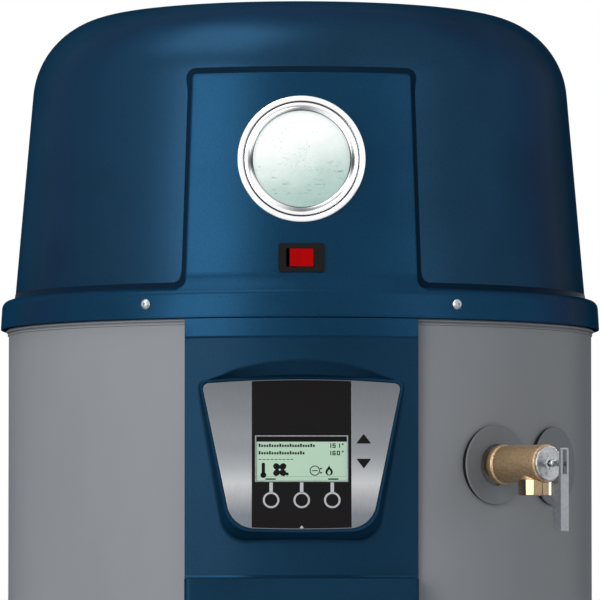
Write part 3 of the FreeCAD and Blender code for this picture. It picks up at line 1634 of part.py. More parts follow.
def recess_form(rim, level):
    """Hollow that opens above the panel's upper edge."""
    near = panel_shape(rim, rim, rim, level)
    far = panel_shape(rim + recess_widen, rim + recess_rise, rim, level + recess_reach)
    return on_panel(Part.makeLoft([near, far], True, True))


def jacket_clearance():
    """Room for the jacket and the bead behind a cover, less the opening behind the panel."""
    half, low, high, inner = service_boxes()[-1]
    opening = box((-half + seat_gap, -jacket_radius - overrun, low + seat_gap),
                  (half - seat_gap, -inner - seat_gap, high - seat_gap))
    body = cylinder(jacket_radius + seat_gap, rim_height).cut(opening)
    bead = cylinder(bead_radius + seat_gap, bead_drop + bead_height + 2 * seat_gap,
                    Vector(0, 0, rim_height - bead_drop - bead_height - seat_gap))
    return body.fuse(bead)


def panel_window():
    """Opening behind the fascia, a ledge smaller than the fascia all round."""
    half = fascia_width / 2 - ledge_reach
    margin = fascia_margin + ledge_reach
    return on_panel(box((-half, -bezel_length + margin, -pod_depth), (half, -margin, pod_depth)))


def control_cover():
    """Moulded cover below the rim: curved front, tilted pod for the panel, hollow behind."""
    under = strip_wall + bezel_gauge
    outer = join([strip_form(0), pod_form(pod_rim, 0)]).cut(recess_form(pod_rim, 0))
    inner = join([strip_form(strip_wall), pod_form(pod_rim - strip_wall, -under)])
    inner = inner.cut(recess_form(pod_rim + strip_wall, -under))
    seat = Part.Face(panel_shape(bezel_gap, bezel_gap, bezel_gap, -bezel_gauge))
    seat = on_panel(seat.extrude(Vector(0, 0, bezel_gauge + recess_reach)))
    shell = join([outer.cut(inner)] + [on_panel(post) for post in board_posts()])
    arrows = [on_panel(cylinder(arrow_flange + slide_gap, pod_depth, Vector(arrow_across, -down, -pod_depth)))
              for down in (arrow_up_down, arrow_down_down)]
    return drill(shell, [seat, panel_window(), jacket_clearance()] + arrows)


def board_posts():
    """Posts from the ledge back to the corners of the circuit board."""
    length = board_depth - bezel_gauge - ledge_gauge + overrun
    inset = 2 * board_post_radius
    half = board_width / 2 - inset
    return [cylinder(board_post_radius, length, Vector(across, -down, -board_depth))
            for across in (-half, half) for down in (board_start + inset, board_start + board_length - inset)]


def triangle(down, up, margin, low, high):
    """Triangular key body that points up or down the slope."""
    tip = arrow_tall / 2 + margin
    half = arrow_width / 2 + margin * arrow_stretch
    if not up:
        tip = -tip
    points = [Vector(arrow_across - half, -down - tip, low), Vector(arrow_across + half, -down - tip, low),
              Vector(arrow_across, -down + tip, low)]
    return slab(rounded(points, [arrow_corner] * 3), Vector(0, 0, high - low))


def control_bezel():
    """Stainless plate with a window for the fascia and two holes for the triangular keys."""
    plate = Part.Face(panel_shape(level=-bezel_gauge)).extrude(Vector(0, 0, bezel_gauge))
    half = fascia_width / 2 + bezel_gap / 2
    window = box((-half, -bezel_length + fascia_margin, -2 * bezel_gauge),
                 (half, -fascia_margin, bezel_gauge))
    tools = [window, triangle(arrow_up_down, True, slide_gap, -2 * bezel_gauge, bezel_gauge),
             triangle(arrow_down_down, False, slide_gap, -2 * bezel_gauge, bezel_gauge)]
    return on_panel(drill(plate, tools))


def key_places():
    return [Vector(side * key_pitch, -key_down, 0) for side in (-1, 0, 1)]


def control_fascia():
    """Black plate in the bezel's window, with the display's opening and three round key holes."""
    half = fascia_width / 2
    gap = bezel_gap / 2
    plate = box((-half, -bezel_length + fascia_margin + gap, -fascia_gauge), (half, -fascia_margin - gap, 0))
    opening = box((-lcd_width / 2, -lcd_down - lcd_height, -2 * fascia_gauge),
                  (lcd_width / 2, -lcd_down, fascia_gauge))
    holes = [cylinder(key_radius + slide_gap, 4 * fascia_gauge, spot - Vector(0, 0, 2 * fascia_gauge))
             for spot in key_places()]
    return on_panel(drill(plate, [opening] + holes))


def lcd_frame():
    low = Vector(-lcd_width / 2, -lcd_down - lcd_height, -fascia_gauge)
    frame = box((low.x, low.y, low.z), (-low.x, -lcd_down, low.z + lcd_frame_gauge))
    border = lcd_frame_border
    inner = box((low.x + border, low.y + border, low.z - 1), (-low.x - border, -lcd_down - border, 1))
    return on_panel(frame.cut(inner))


def lcd_module():
    """Display body behind the fascia, its glass raised into the frame."""
    border = lcd_frame_border
    low_y = -lcd_down - lcd_height
    body = box((-lcd_width / 2, low_y, -fascia_gauge - lcd_depth), (lcd_width / 2, -lcd_down, -fascia_gauge))
    glass = box((-lcd_width / 2 + border, low_y + border, -fascia_gauge),
                (lcd_width / 2 - border, -lcd_down - border, -lcd_sink))
    return on_panel(body.fuse(glass).removeSplitter())


def key_spots():
    """Places of all five keys on the panel."""
    return key_places() + [Vector(arrow_across, -down, 0) for down in (arrow_up_down, arrow_down_down)]


def control_board():
    """Circuit board with the key switches and two large components."""
    face = -board_depth
    back = face - board_gauge
    half = board_width / 2
    half_switch = switch_width / 2
    board = box((-half, -board_start - board_length, back), (half, -board_start, face))
    switch_top = key_foot() - key_travel - seat_gap
    switches = [box((spot.x - half_switch, spot.y - half_switch, face),
                    (spot.x + half_switch, spot.y + half_switch, switch_top)) for spot in key_spots()]
    lumps = [box((across - wide / 2, -board_start - down - tall / 2, back - deep),
                 (across + wide / 2, -board_start - down + tall / 2, back))
             for across, down, wide, tall, deep in board_parts]
    return on_panel(join([board] + switches + lumps))


def key_foot():
    return -fascia_gauge - seat_gap - key_flange_gauge - key_stalk


def round_key(spot):
    """Cap, flange behind the fascia and a stalk that meets the switch."""
    flange_top = Vector(0, 0, -fascia_gauge - seat_gap)
    cap = cylinder(key_radius, key_proud - flange_top.z, spot + flange_top)
    flange = cylinder(key_radius + key_flange, key_flange_gauge,
                      spot + flange_top - Vector(0, 0, key_flange_gauge))
    stalk = cylinder(key_stalk_radius, key_stalk, spot + Vector(0, 0, key_foot()))
    return on_panel(join([cap, flange, stalk]))


def arrow_key(down, up):
    """Triangular cap, round flange behind the bezel and a stalk that meets the switch."""
    flange_top = -bezel_gauge - seat_gap
    cap = triangle(down, up, 0, flange_top, key_proud)
    flange = cylinder(arrow_flange, key_flange_gauge,
                      Vector(arrow_across, -down, flange_top - key_flange_gauge))
    stalk = cylinder(key_stalk_radius, key_stalk, Vector(arrow_across, -down, key_foot()))
    return on_panel(join([cap, flange, stalk]))


def lower_cover():
    """Flat cover, slightly bowed, that runs on down to just above the pan."""
    top = floor - control_cover_height - seam_gap
    outer = lower_form(0, lower_cover_foot, top)
    inner = lower_form(strip_wall, lower_cover_foot + strip_wall, top - strip_wall)
    return outer.cut(inner).cut(cylinder(jacket_radius + seat_gap, rim_height))


def lower_form(offset, low, high):
    half = strip_half_width - offset
    front = lower_cover_front - offset
    side = front - lower_cover_bow
    back = cover_back()
    corner = lower_cover_edge - offset
    slope = math.atan2(lower_cover_bow, half)
    bow = arch_share * half / math.tan(slope)
    points = [Vector(-half, -back, low), Vector(-half, -side, low), Vector(0, -front, low),
              Vector(half, -side, low), Vector(half, -back, low)]
    return slab(rounded(points, [0, corner, bow, corner, 0]), Vector(0, 0, high - low))


# ---------------------------------------------------------------- junction box
def box_shape(inset, near, far):
    """Block the width and height of the junction box, less an inset, between two distances."""
    half = box_width / 2 - inset
    tall = box_height / 2 - inset
    return box((-half, near, box_center_height - tall), (half, far, box_center_height + tall))


def junction_box():
    """Steel box on the back of the jacket, spot welded from five walls, with a cable entry underneath."""
    face = jacket_radius + box_depth
    edge = jacket_radius - fall(jacket_radius, box_width / 2) - overrun
    outer = box_shape(0, edge, face)
    inner = box_shape(sheet_gauge, jacket_radius + box_back, face + overrun)
    bottom = box_center_height - box_height / 2
    entry = cylinder(knockout_radius, 3 * sheet_gauge,
                     Vector(0, jacket_radius + box_depth / 2, bottom - sheet_gauge))
    wires = cylinder(knockout_radius, box_depth, Vector(0, edge, box_center_height), Vector(0, 1, 0))
    shell = drill(outer, [inner, entry, wires, cylinder(jacket_radius, rim_height)])
    half = box_width / 2 - sheet_gauge
    tall = box_height / 2 - sheet_gauge
    near, far = edge - overrun, face + overrun
    back = box((-half, near, box_center_height - tall), (half, far, box_center_height + tall))
    ends = [box((low, near, box_center_height - box_height), (high, far, box_center_height + box_height))
            for low, high in ((-box_width, -half), (half, box_width))]
    floors = [box((-half, near, low), (half, far, high))
              for low, high in ((box_center_height - box_height, box_center_height - tall),
                                (box_center_height + tall, box_center_height + box_height))]
    return Part.makeCompound([shell.common(wall) for wall in [back] + ends + floors])


def junction_box_cover():
    """Lid with a rim that plugs into the box, held by two screws."""
    face = jacket_radius + box_depth
    back = Vector(0, 1, 0)
    plate = box_shape(0, face, face + sheet_gauge)
    rim = box_shape(sheet_gauge, face - box_plug_depth, face)
    hollow = box_shape(2 * sheet_gauge, face - box_plug_depth - overrun, face)
    heads = [cylinder(box_screw_radius, box_screw_rise,
                      Vector(side * box_screw_spacing / 2, face + sheet_gauge, box_center_height), back)
             for side in (-1, 1)]
    return join([plate, rim.cut(hollow)] + heads)


# ---------------------------------------------------------------- write every piece
def main():
    os.makedirs("parts", exist_ok=True)
    makers = [base_pan, tank_shell, tank_top_head, tank_bottom_head, tank_spuds, foam_insulation,
              outer_jacket, jacket_top_cap, port_escutcheons, water_nipples, anode_rod, inlet_diffuser,
              heating_elements, thermostats, thermostat_brackets, condenser_coil, relief_body, relief_cap,
              relief_stem, relief_lever_pin, relief_lever, relief_spring, relief_probe, drain_valve_body,
              drain_valve_knob, compressor, compressor_grommets, compressor_bolts, evaporator_fins,
              evaporator_tubes, condensate_pan, fan_shroud, fan_motor, fan_rotor, air_filter, filter_rails,
              filter_drier, expansion_valve, refrigerant_lines, shroud, front_cover, cover_screws,
              badge_ring, badge_disc, rocker_housing, rocker_switch, control_cover, control_bezel,
              control_fascia, lcd_frame, lcd_module, control_board, lower_cover, junction_box,
              junction_box_cover]
    for maker in makers:
        save(maker.__name__, maker())
    for name, spot in zip(("left_key", "middle_key", "right_key"), key_places()):
        save(name, round_key(spot))
    save("up_key", arrow_key(arrow_up_down, True))
    save("down_key", arrow_key(arrow_down_down, False))


main()
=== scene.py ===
import json
import math

import bmesh
import bpy
import numpy as np
from mathutils import Matrix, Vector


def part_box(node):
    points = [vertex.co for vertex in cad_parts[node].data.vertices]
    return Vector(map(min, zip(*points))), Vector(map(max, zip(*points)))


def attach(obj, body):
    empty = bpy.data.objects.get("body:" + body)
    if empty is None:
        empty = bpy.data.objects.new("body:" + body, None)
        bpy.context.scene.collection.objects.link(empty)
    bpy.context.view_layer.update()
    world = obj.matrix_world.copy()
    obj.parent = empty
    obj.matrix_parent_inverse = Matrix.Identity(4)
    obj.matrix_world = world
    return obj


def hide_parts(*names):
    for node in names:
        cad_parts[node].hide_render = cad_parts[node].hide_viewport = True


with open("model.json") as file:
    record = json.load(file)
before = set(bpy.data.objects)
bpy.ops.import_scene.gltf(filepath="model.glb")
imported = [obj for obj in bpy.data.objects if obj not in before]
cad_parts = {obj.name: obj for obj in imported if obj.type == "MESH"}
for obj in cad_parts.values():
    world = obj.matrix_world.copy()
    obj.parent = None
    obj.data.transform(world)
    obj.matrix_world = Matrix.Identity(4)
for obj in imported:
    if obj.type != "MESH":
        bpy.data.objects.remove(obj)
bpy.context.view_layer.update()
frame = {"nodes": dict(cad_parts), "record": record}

# Tank water heater with a heat pump head. Front towards -Y, up +Z.
# Sizes in the dictionaries are millimetres and degrees; meshes are written in metres.
mm = 0.001
print("frame loaded")


def corners(node):
    # lowest and highest corner of a node, in millimetres
    low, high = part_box(node)
    return np.array(low) / mm, np.array(high) / mm


rimFoot = corners("shroud")[0][2]           # underside of the shroud
jacketRadius = corners("outer_jacket")[1][0]
rimRadius = corners("front_cover")[1][0]
bezelLow, bezelHigh = corners("control_bezel")


# Node maths: a Value is one socket, and its operators add Math nodes
class Value:
    def __init__(self, nodes, socket):
        self.nodes = nodes
        self.socket = socket

    def maths(self, operation, first, second):
        return self.nodes.add("ShaderNodeMath", {"operation": operation}, {0: first, 1: second})

    def __add__(self, other):
        return self.maths("ADD", self, other)

    def __sub__(self, other):
        return self.maths("SUBTRACT", self, other)

    def __rsub__(self, other):
        return self.maths("SUBTRACT", other, self)

    def __mul__(self, other):
        return self.maths("MULTIPLY", self, other)

    def __truediv__(self, other):
        return self.maths("DIVIDE", self, other)

    def __rtruediv__(self, other):
        return self.maths("DIVIDE", other, self)

    def __pow__(self, other):
        return self.maths("POWER", self, other)

    __radd__ = __add__
    __rmul__ = __mul__

    def most(self, other):
        return self.maths("MAXIMUM", self, other)

    def ramp(self, low, high):
        # 0 at low, 1 at high, smooth between them
        return self.nodes.add("ShaderNodeMapRange", {"interpolation_type": "SMOOTHSTEP"},
                              {"Value": self, "From Min": low, "From Max": high})

    def band(self, outerLow, innerLow, innerHigh, outerHigh):
        # 1 between the inner limits, 0 beyond the outer ones
        return self.ramp(outerLow, innerLow) * (1.0 - self.ramp(innerHigh, outerHigh))


# Nodes is the node tree of a material or of the world, and add() makes any node in it
class Nodes:
    def __init__(self, owner):
        owner.use_nodes = True
        self.tree = owner.node_tree
        self.tree.nodes.clear()

    def add(self, kind, settings=None, inputs=None, out=0):
        node = self.tree.nodes.new(kind)
        for key, value in (settings or {}).items():
            if key == "stops":
                while len(node.color_ramp.elements) < len(value):
                    node.color_ramp.elements.new(1.0)
                for stop, (place, colour) in zip(node.color_ramp.elements, value):
                    stop.position = place
                    stop.color = colour
            else:
                setattr(node, key, value)
        for key, value in (inputs or {}).items():
            if isinstance(value, Value):
                self.tree.links.new(value.socket, node.inputs[key])
            else:
                node.inputs[key].default_value = value
        return Value(self, node.outputs[out]) if len(node.outputs) else None


# A Finish is one material, with short methods for the nodes that most of them use
class Finish(Nodes):
    def __init__(self, name):
        self.material = bpy.data.materials.new(name)
        super().__init__(self.material)
        self.coords = self.add("ShaderNodeTexCoord", out="Object")

    def noise(self, scale, detail=3.0, rough=0.5, stretch=None):
        vector = self.coords
        if stretch:
            vector = self.add("ShaderNodeMapping", None, {"Vector": self.coords, "Scale": stretch})
        return self.add("ShaderNodeTexNoise", None,
                        {"Vector": vector, "Scale": scale, "Detail": detail, "Roughness": rough}, "Fac")

    def cells(self, scale):
        # distance to the nearest of many scattered points
        return self.add("ShaderNodeTexVoronoi", {"feature": "F1"}, {"Vector": self.coords, "Scale": scale},
                        "Distance")

    def axis(self, name, vector=None):
        return self.add("ShaderNodeSeparateXYZ", None, {0: vector or self.coords}, name)

    def blend(self, share, first, second, how="MIX"):
        return self.add("ShaderNodeMix", {"data_type": "RGBA", "blend_type": how},
                        {0: share, 6: first, 7: second}, 2)

    def shades(self, along, colours):
        # a ramp through screen colours, each at its place from 0 to 1
        stops = [(place, screen(*colour)) for place, colour in colours]
        return self.add("ShaderNodeValToRGB", {"stops": stops}, {"Fac": along}, "Color")

    def bump(self, height, depth):
        return self.add("ShaderNodeBump", None, {"Height": height, "Distance": depth, "Strength": 1.0})

    def badgePlace(self):
        # X across the badge and Y up its face, both from its middle, and the distance from there
        low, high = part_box("badge_ring")
        moved = self.add("ShaderNodeVectorMath", {"operation": "SUBTRACT"},
                         {0: self.coords, 1: (0.0, (low[1] + high[1]) / 2, (low[2] + high[2]) / 2)})
        place = self.add("ShaderNodeMapping", {"vector_type": "POINT"},
                         {"Vector": moved, "Rotation": (-math.pi / 2, 0.0, 0.0)})
        x, y = self.axis("X", place), self.axis("Y", place)
        return x, y, (x * x + y * y) ** 0.5

    def done(self, matte=None, **sockets):
        # between the matte limits the gloss dies away as the surface turns edge on
        named = {key.replace("_", " "): value for key, value in sockets.items()}
        shader = self.add("ShaderNodeBsdfPrincipled", None, named)
        if matte:
            turned = self.add("ShaderNodeLayerWeight", None, {"Blend": 0.5}, "Facing")
            dull = self.add("ShaderNodeBsdfPrincipled", None,
                            {"Base Color": sockets["Base_Color"], "Roughness": 0.7, "Specular IOR Level": 0.0,
                             "Normal": sockets["Normal"]})
            shader = self.add("ShaderNodeMixShader", None, {0: turned.ramp(*matte), 1: shader, 2: dull})
        self.add("ShaderNodeOutputMaterial", None, {"Surface": shader})
        return self.material


def screen(red, green, blue):
    # a screen colour of 0 to 255 as linear light
    parts = np.array([red, green, blue]) / 255
    linear = np.where(parts <= 0.04045, parts / 12.92, ((parts + 0.055) / 1.055) ** 2.4)
    return (*linear.tolist(), 1.0)


def plastic(name, colour, shade, rough, grain=1100.0, depth=0.00004, specular=0.12):
    # moulded plastic: fine spark-eroded grain, slow drift of colour and gloss
    finish = Finish(name)
    drift = finish.noise(7.0, detail=4.0)
    grit = finish.noise(grain, detail=2.0)
    scuff = finish.noise(60.0, detail=6.0, rough=0.7).ramp(0.62, 0.78)
    return finish.done(Base_Color=finish.blend(drift, screen(*colour), screen(*shade)),
                       Roughness=rough + drift * 0.05 + scuff * 0.06 - 0.02, Specular_IOR_Level=specular,
                       Normal=finish.bump(grit, depth))


def metal(name, colour, shade, rough, depth=0.00002, spread=0.12, coat=0.0):
    # worked metal: an even fine grain, slow cloudy stains, and a clear coat where coat is above 0
    finish = Finish(name)
    lay = finish.noise(300.0, detail=5.0, rough=0.6)
    cloud = finish.noise(14.0, detail=4.0)
    base = finish.blend((lay * 0.55 + cloud * 0.45).ramp(0.25, 0.75), screen(*shade), screen(*colour))
    return finish.done(Base_Color=base, Roughness=rough + (lay - 0.5) * spread + (cloud - 0.5) * 0.1,
                       Metallic=1.0, Coat_Weight=coat, Coat_Roughness=0.1, Normal=finish.bump(lay, depth))


def painted(name, colour, shade, rough):
    # baked paint on sheet steel: orange peel, faint drift, thin scratches
    finish = Finish(name)
    peel = finish.noise(260.0, detail=2.0, rough=0.4)
    drift = finish.noise(3.5, detail=4.0, rough=0.55, stretch=(1.0, 1.0, 0.35))
    scratch = finish.noise(40.0, detail=8.0, rough=0.75, stretch=(1.0, 1.0, 0.06)).ramp(0.68, 0.8)
    base = finish.blend(drift.ramp(0.3, 0.7), screen(*shade), screen(*colour))
    base = finish.blend(scratch * 0.12, base, screen(190, 192, 194))
    return finish.done(matte=(0.3, 0.8), Base_Color=base, Roughness=rough + drift * 0.06 - scratch * 0.05,
                       Specular_IOR_Level=0.15, Normal=finish.bump(peel, depth=0.00005))


def cast(name, colour, shade, rough, scale):
    # sand cast metal: coarse speckled skin with darker hollows
    finish = Finish(name)
    skin = finish.noise(scale, detail=6.0, rough=0.62)
    pits = finish.cells(scale * 0.9)
    height = skin * 0.7 + pits * 0.5
    base = finish.blend(height.ramp(0.25, 0.8), screen(*shade), screen(*colour))
    return finish.done(Base_Color=base, Roughness=rough + (0.6 - height) * 0.3, Metallic=1.0,
                       Normal=finish.bump(height, depth=0.00022))


# Blue plastic: "edge" tints the gloss, and each moulding has its lighter and deeper colour and its roughness;
# the "strip" colours are a darker copy of the cover's, painted shade for the control and lower covers
blueLooks = {"metallic": 0.85, "specular": 0.05, "edge": (0.10, 0.16, 0.22, 1.0), "coat": 0.07, "coatRough": 0.3,
             "cover": ((14, 50, 75), (10, 42, 63), 0.36), "shroud": ((20, 49, 71), (15, 41, 60), 0.36),
             "strip": ((14, 44, 65), (10, 37, 55), 0.5)}


def blue(name, light, deep, rough):
    # dark pearl plastic: a fine metallic flake under a soft gloss, with a slow drift between the two colours
    finish = Finish(name)
    looks = blueLooks
    drift = finish.noise(6.0, detail=4.0)
    flake = finish.noise(1500.0, detail=2.0)
    scuff = finish.noise(70.0, detail=6.0, rough=0.7).ramp(0.62, 0.8)
    base = finish.blend(drift.ramp(0.3, 0.7), screen(*deep), screen(*light))
    base = finish.blend(flake.ramp(0.35, 0.75) * 0.16, base, screen(*[min(255, 2 * part) for part in light]))
    return finish.done(matte=(0.35, 0.8), Base_Color=base, Roughness=rough + drift * 0.04 + scuff * 0.04 - 0.02,
                       Metallic=looks["metallic"], Specular_IOR_Level=looks["specular"],
                       Specular_Tint=looks["edge"], Coat_Weight=looks["coat"],
                       Coat_Roughness=looks["coatRough"], Normal=finish.bump(flake, depth=0.00003))


# Brushed steel: its shades from the plate's foot, at 0, to its top, at 1; the pale band low on the plate is a painted
# highlight
steelPaintedHighlight = [(0.0, (104, 109, 115)), (0.1, (110, 115, 121)), (0.2, (144, 145, 148)), (0.31, (176, 176, 178)),
               (0.42, (148, 151, 154)), (0.58, (128, 131, 135)), (0.78, (111, 114, 118)), (1.0, (98, 102, 106))]


def brushed(name, low, high):
    # steel brushed up and down: bright and dark hairlines over a ramp of shades, a painted highlight palest a third
    # of the way up
    finish = Finish(name)
    fine = finish.noise(1.0, detail=4.0, rough=0.6, stretch=(2600.0, 2600.0, 9.0))
    broad = finish.noise(1.0, detail=3.0, rough=0.5, stretch=(420.0, 420.0, 2.2))
    rise = (finish.axis("Z") - low) / (high - low)
    tone = finish.shades(rise + (broad - 0.5) * 0.03, steelPaintedHighlight)
    bright = (fine * 0.7 + broad * 0.5 - 0.1).ramp(0.25, 0.8) * 0.3
    base = finish.blend(bright, tone, screen(226, 228, 230), "SOFT_LIGHT")
    base = finish.blend(fine.ramp(0.5, 0.8) * 0.22, base, screen(84, 88, 94))
    return finish.done(Base_Color=base, Roughness=0.3 + fine * 0.16, Metallic=1.0, Anisotropic=0.4,
                       Normal=finish.bump(fine, depth=0.00002))


# Badge: limits of the ring's painted shade and painted reflection, as radii or heights in metres, and the shades of
# its field from top to foot
badgeLooks = {"groove": (0.0572, 0.0577, 0.0585, 0.0590), "roll": (0.0492, 0.0500, 0.0530, 0.0552),
              "line": (0.0497, 0.0503), "sides": (0.045, -0.01), "rim": (0.0445, 0.0492), "bright": (250, 250, 251),
              "shadeAndReflection": (58, 60, 64), "fadeTop": 0.026, "fadeTall": 0.075,
              "field": [(0.0, (238, 241, 240)), (0.35, (216, 226, 222)), (0.7, (176, 198, 191)),
                        (1.0, (156, 184, 176))]}


def badgeRingLooks():
    # polished ring: painted shade in its groove and in a line round the field, and a painted reflection of dark
    # surroundings at the sides and crest of the inner roll
    finish = Finish("badgeChrome")
    looks = badgeLooks
    x, y, radius = finish.badgePlace()
    # painted shade in the groove and at the field's edge, painted reflection at the roll's sides and crest
    groove = radius.band(*looks["groove"])
    roll = radius.band(*looks["roll"])
    side = (x * x / (radius * radius)) ** 5.0 * y.ramp(*looks["sides"])
    crestReflection = (1.0 - side) * ((y * y / (radius * radius)) ** 5.0)
    line = 1.0 - radius.ramp(*looks["line"])
    shadeAndReflection = groove * 0.95 + roll * (side * 0.95 + crestReflection * 0.65) + line * 0.5
    haze = finish.noise(90.0, detail=4.0)
    base = finish.blend(shadeAndReflection.ramp(0.0, 1.0), screen(*looks["bright"]), screen(*looks["shadeAndReflection"]))
    return finish.done(Base_Color=base, Roughness=0.14 + haze * 0.08, Metallic=1.0,
                       Normal=finish.bump(haze, depth=0.00002))


def badgeFieldLooks():
    # pale glass: white above, sea green below, with fine droplets, ripples and a soft shade at its rim
    finish = Finish("badgeFace")
    looks = badgeLooks
    x, y, radius = finish.badgePlace()
    cloud = finish.noise(38.0, detail=5.0, rough=0.6)
    fall = (looks["fadeTop"] - y + x * 0.3) / looks["fadeTall"] + (cloud - 0.5) * 0.5
    tone = finish.shades(fall, looks["field"])
    drops = finish.cells(420.0)
    spots = finish.noise(55.0, detail=2.0).ramp(0.5, 0.62) * (1.0 - drops.ramp(0.12, 0.22))
    ripple = finish.noise(1.0, detail=4.0, rough=0.6, stretch=(90.0, 90.0, 340.0)).ramp(0.58, 0.7)
    ripple = ripple * (0.0 - y).ramp(-0.002, 0.012)
    base = finish.blend(spots * 0.8, tone, screen(122, 146, 142))
    base = finish.blend(ripple * 0.7, base, screen(112, 146, 138))
    base = finish.blend(radius.ramp(*looks["rim"]) * 0.35, base, screen(170, 190, 184))
    return finish.done(Base_Color=base, Roughness=0.2 + spots * 0.1, Specular_IOR_Level=0.1,
                       Normal=finish.bump(spots + cloud * 0.2, depth=0.00012))


# One finish for each slot of the CAD model, then the ones that only pieces of this file wear
finishes = {
    "pan_steel": painted("panSteel", (96, 98, 101), (82, 84, 88), 0.45),
    "tank_enamel": painted("tankEnamel", (60, 74, 92), (44, 56, 74), 0.3),
    "raw_steel": metal("rawSteel", (150, 150, 150), (104, 102, 100), 0.42),
    "foam": plastic("foam", (214, 196, 140), (190, 168, 112), 0.85, grain=180.0, depth=0.0008),
    "jacket_paint": painted("jacketPaint", (131, 134, 138), (123, 126, 130), 0.42),
    "brass_fitting": metal("brassFitting", (196, 158, 92), (150, 116, 60), 0.32),
    "magnesium": metal("magnesium", (176, 178, 180), (140, 142, 146), 0.5),
    "white_plastic": plastic("whitePlastic", (222, 222, 216), (206, 206, 200), 0.5),
    "black_plastic": plastic("blackPlastic", (26, 26, 27), (20, 20, 21), 0.48, specular=0.06),
    "aluminium_tube": metal("aluminiumTube", (190, 192, 194), (158, 160, 164), 0.38),
    "cast_brass": cast("castBrass", (198, 170, 134), (140, 117, 88), 0.5, scale=520.0),
    "satin_steel": metal("satinSteel", (196, 198, 200), (164, 167, 170), 0.3),
    "black_paint": painted("blackPaint", (34, 34, 35), (24, 24, 26), 0.38),
    "rubber": plastic("rubber", (28, 28, 28), (20, 20, 20), 0.8),
    "zinc": metal("zinc", (196, 199, 202), (150, 154, 158), 0.34),
    "fin_aluminium": metal("finAluminium", (200, 202, 204), (170, 172, 176), 0.4),
    "copper": metal("copper", (196, 118, 84), (150, 82, 56), 0.32),
    "filter_plastic": plastic("filterPlastic", (72, 76, 80), (58, 62, 66), 0.6),
    "blue_plastic": blue("bluePlastic", *blueLooks["cover"]),
    "badge_chrome": badgeRingLooks(),
    "badge_face": badgeFieldLooks(),
    "red_plastic": plastic("redPlastic", (168, 2, 4), (146, 0, 2), 0.34, specular=0.06),
    # the bezel's pale band of brushed steel is a painted highlight
    "brushed_stainless": brushed("brushedStainless", bezelLow[2] * mm, bezelHigh[2] * mm),
    "gloss_black": plastic("glossBlack", (24, 22, 23), (18, 17, 18), 0.25, grain=600.0, depth=0.00001,
                           specular=0.06),
    "lcd_border": metal("lcdBorder", (158, 160, 164), (120, 122, 128), 0.35),
    "lcd_face": plastic("lcdFace", (170, 196, 176), (162, 188, 168), 0.3, grain=900.0, depth=0.00001,
                        specular=0.08),
    "board_green": plastic("boardGreen", (30, 88, 52), (20, 66, 40), 0.4),
    "plate_paint": painted("platePaint", (112, 116, 120), (106, 110, 114), 0.5),
    "turned_brass": metal("turnedBrass", (166, 141, 108), (140, 116, 84), 0.16, depth=0.00001, spread=0.06,
                          coat=1.0),
    "cap_silver": metal("capSilver", (196, 198, 200), (150, 153, 157), 0.26),
    "lever_steel": metal("leverSteel", (168, 172, 176), (144, 148, 152), 0.42),
    "shroud_blue": blue("shroudBlue", *blueLooks["shroud"]),
    # the panel's channel: a dark blue, painted shade
    "channel_shade": plastic("channelShade", (12, 33, 50), (9, 27, 42), 0.7, specular=0.02),
    # the control and lower covers: a darker copy of the cover's blue, painted shade
    "strip_plastic_painted_shade": blue("stripPlasticPaintedShade", *blueLooks["strip"]),
    "ink": plastic("ink", (20, 22, 20), (14, 16, 14), 0.5, specular=0.05),
    "silver_ink": metal("silverInk", (176, 177, 180), (160, 162, 165), 0.4),
}
slotOf = {part["node"]: part["material_slot"] for part in frame["record"]["subparts"]}
print("materials made:", len(finishes))


# Shapes: points are arrays of rows x columns x 3, in millimetres
def roundedLine(points, radii, arcSteps=6, runSteps=1, closed=False):
    # straight runs joined by tangent arcs: an arc of radius r takes r / tan(half angle) off each run
    points = np.asarray(points, float)
    count = len(points)
    arcSteps = arcSteps if hasattr(arcSteps, "__len__") else [arcSteps] * count
    runSteps = runSteps if hasattr(runSteps, "__len__") else [runSteps] * count
    stretches = []
    for i in range(count):
        corner = points[i]
        if radii[i] <= 0 or (not closed and i in (0, count - 1)):
            stretches.append(corner[None, :])
            continue
        back = points[i - 1] - corner
        ahead = points[(i + 1) % count] - corner
        back, ahead = back / np.linalg.norm(back), ahead / np.linalg.norm(ahead)
        half = math.acos(np.clip(back @ ahead, -1, 1)) / 2
        middle = (back + ahead) / np.linalg.norm(back + ahead)
        centre = corner + middle * radii[i] / math.sin(half)
        start = corner + back * radii[i] / math.tan(half) - centre
        end = corner + ahead * radii[i] / math.tan(half) - centre
        sweep = math.pi - 2 * half
        turn = np.linspace(0, 1, arcSteps[i] + 1)[:, None]
        arc = (start * np.sin((1 - turn) * sweep) + end * np.sin(turn * sweep)) / math.sin(sweep)
        stretches.append(centre + arc)
    joined = []
    for i in range(count):
        joined.append(stretches[i])
        if i < count - 1 or closed:
            last, following = stretches[i][-1], stretches[(i + 1) % count][0]
            joined.append(last + (following - last) * np.linspace(0, 1, runSteps[i] + 1)[1:-1, None])
    return np.concatenate(joined)


def aboutAxis(radius, turn, height):
    # points round Z, the turn in radians: 0 is the front and grows towards +X
    return np.stack([radius * np.sin(turn), -radius * np.cos(turn), height + 0 * turn], -1)


def onRound(x, radius, height):
    # points on the front of a round wall: y = -sqrt(radius^2 - x^2)
    return np.stack([x, -np.sqrt(radius ** 2 - x ** 2), height + 0 * x], -1)


def turned(profile, angles):
    # a (radius, height) profile carried round Z
    return aboutAxis(profile[:, :1], np.radians(np.asarray(angles, float))[None, :], profile[:, 1:2])


def raised(outline, height):
    # a flat outline at one height
    return np.concatenate([outline, np.full((len(outline), 1), height)], 1)


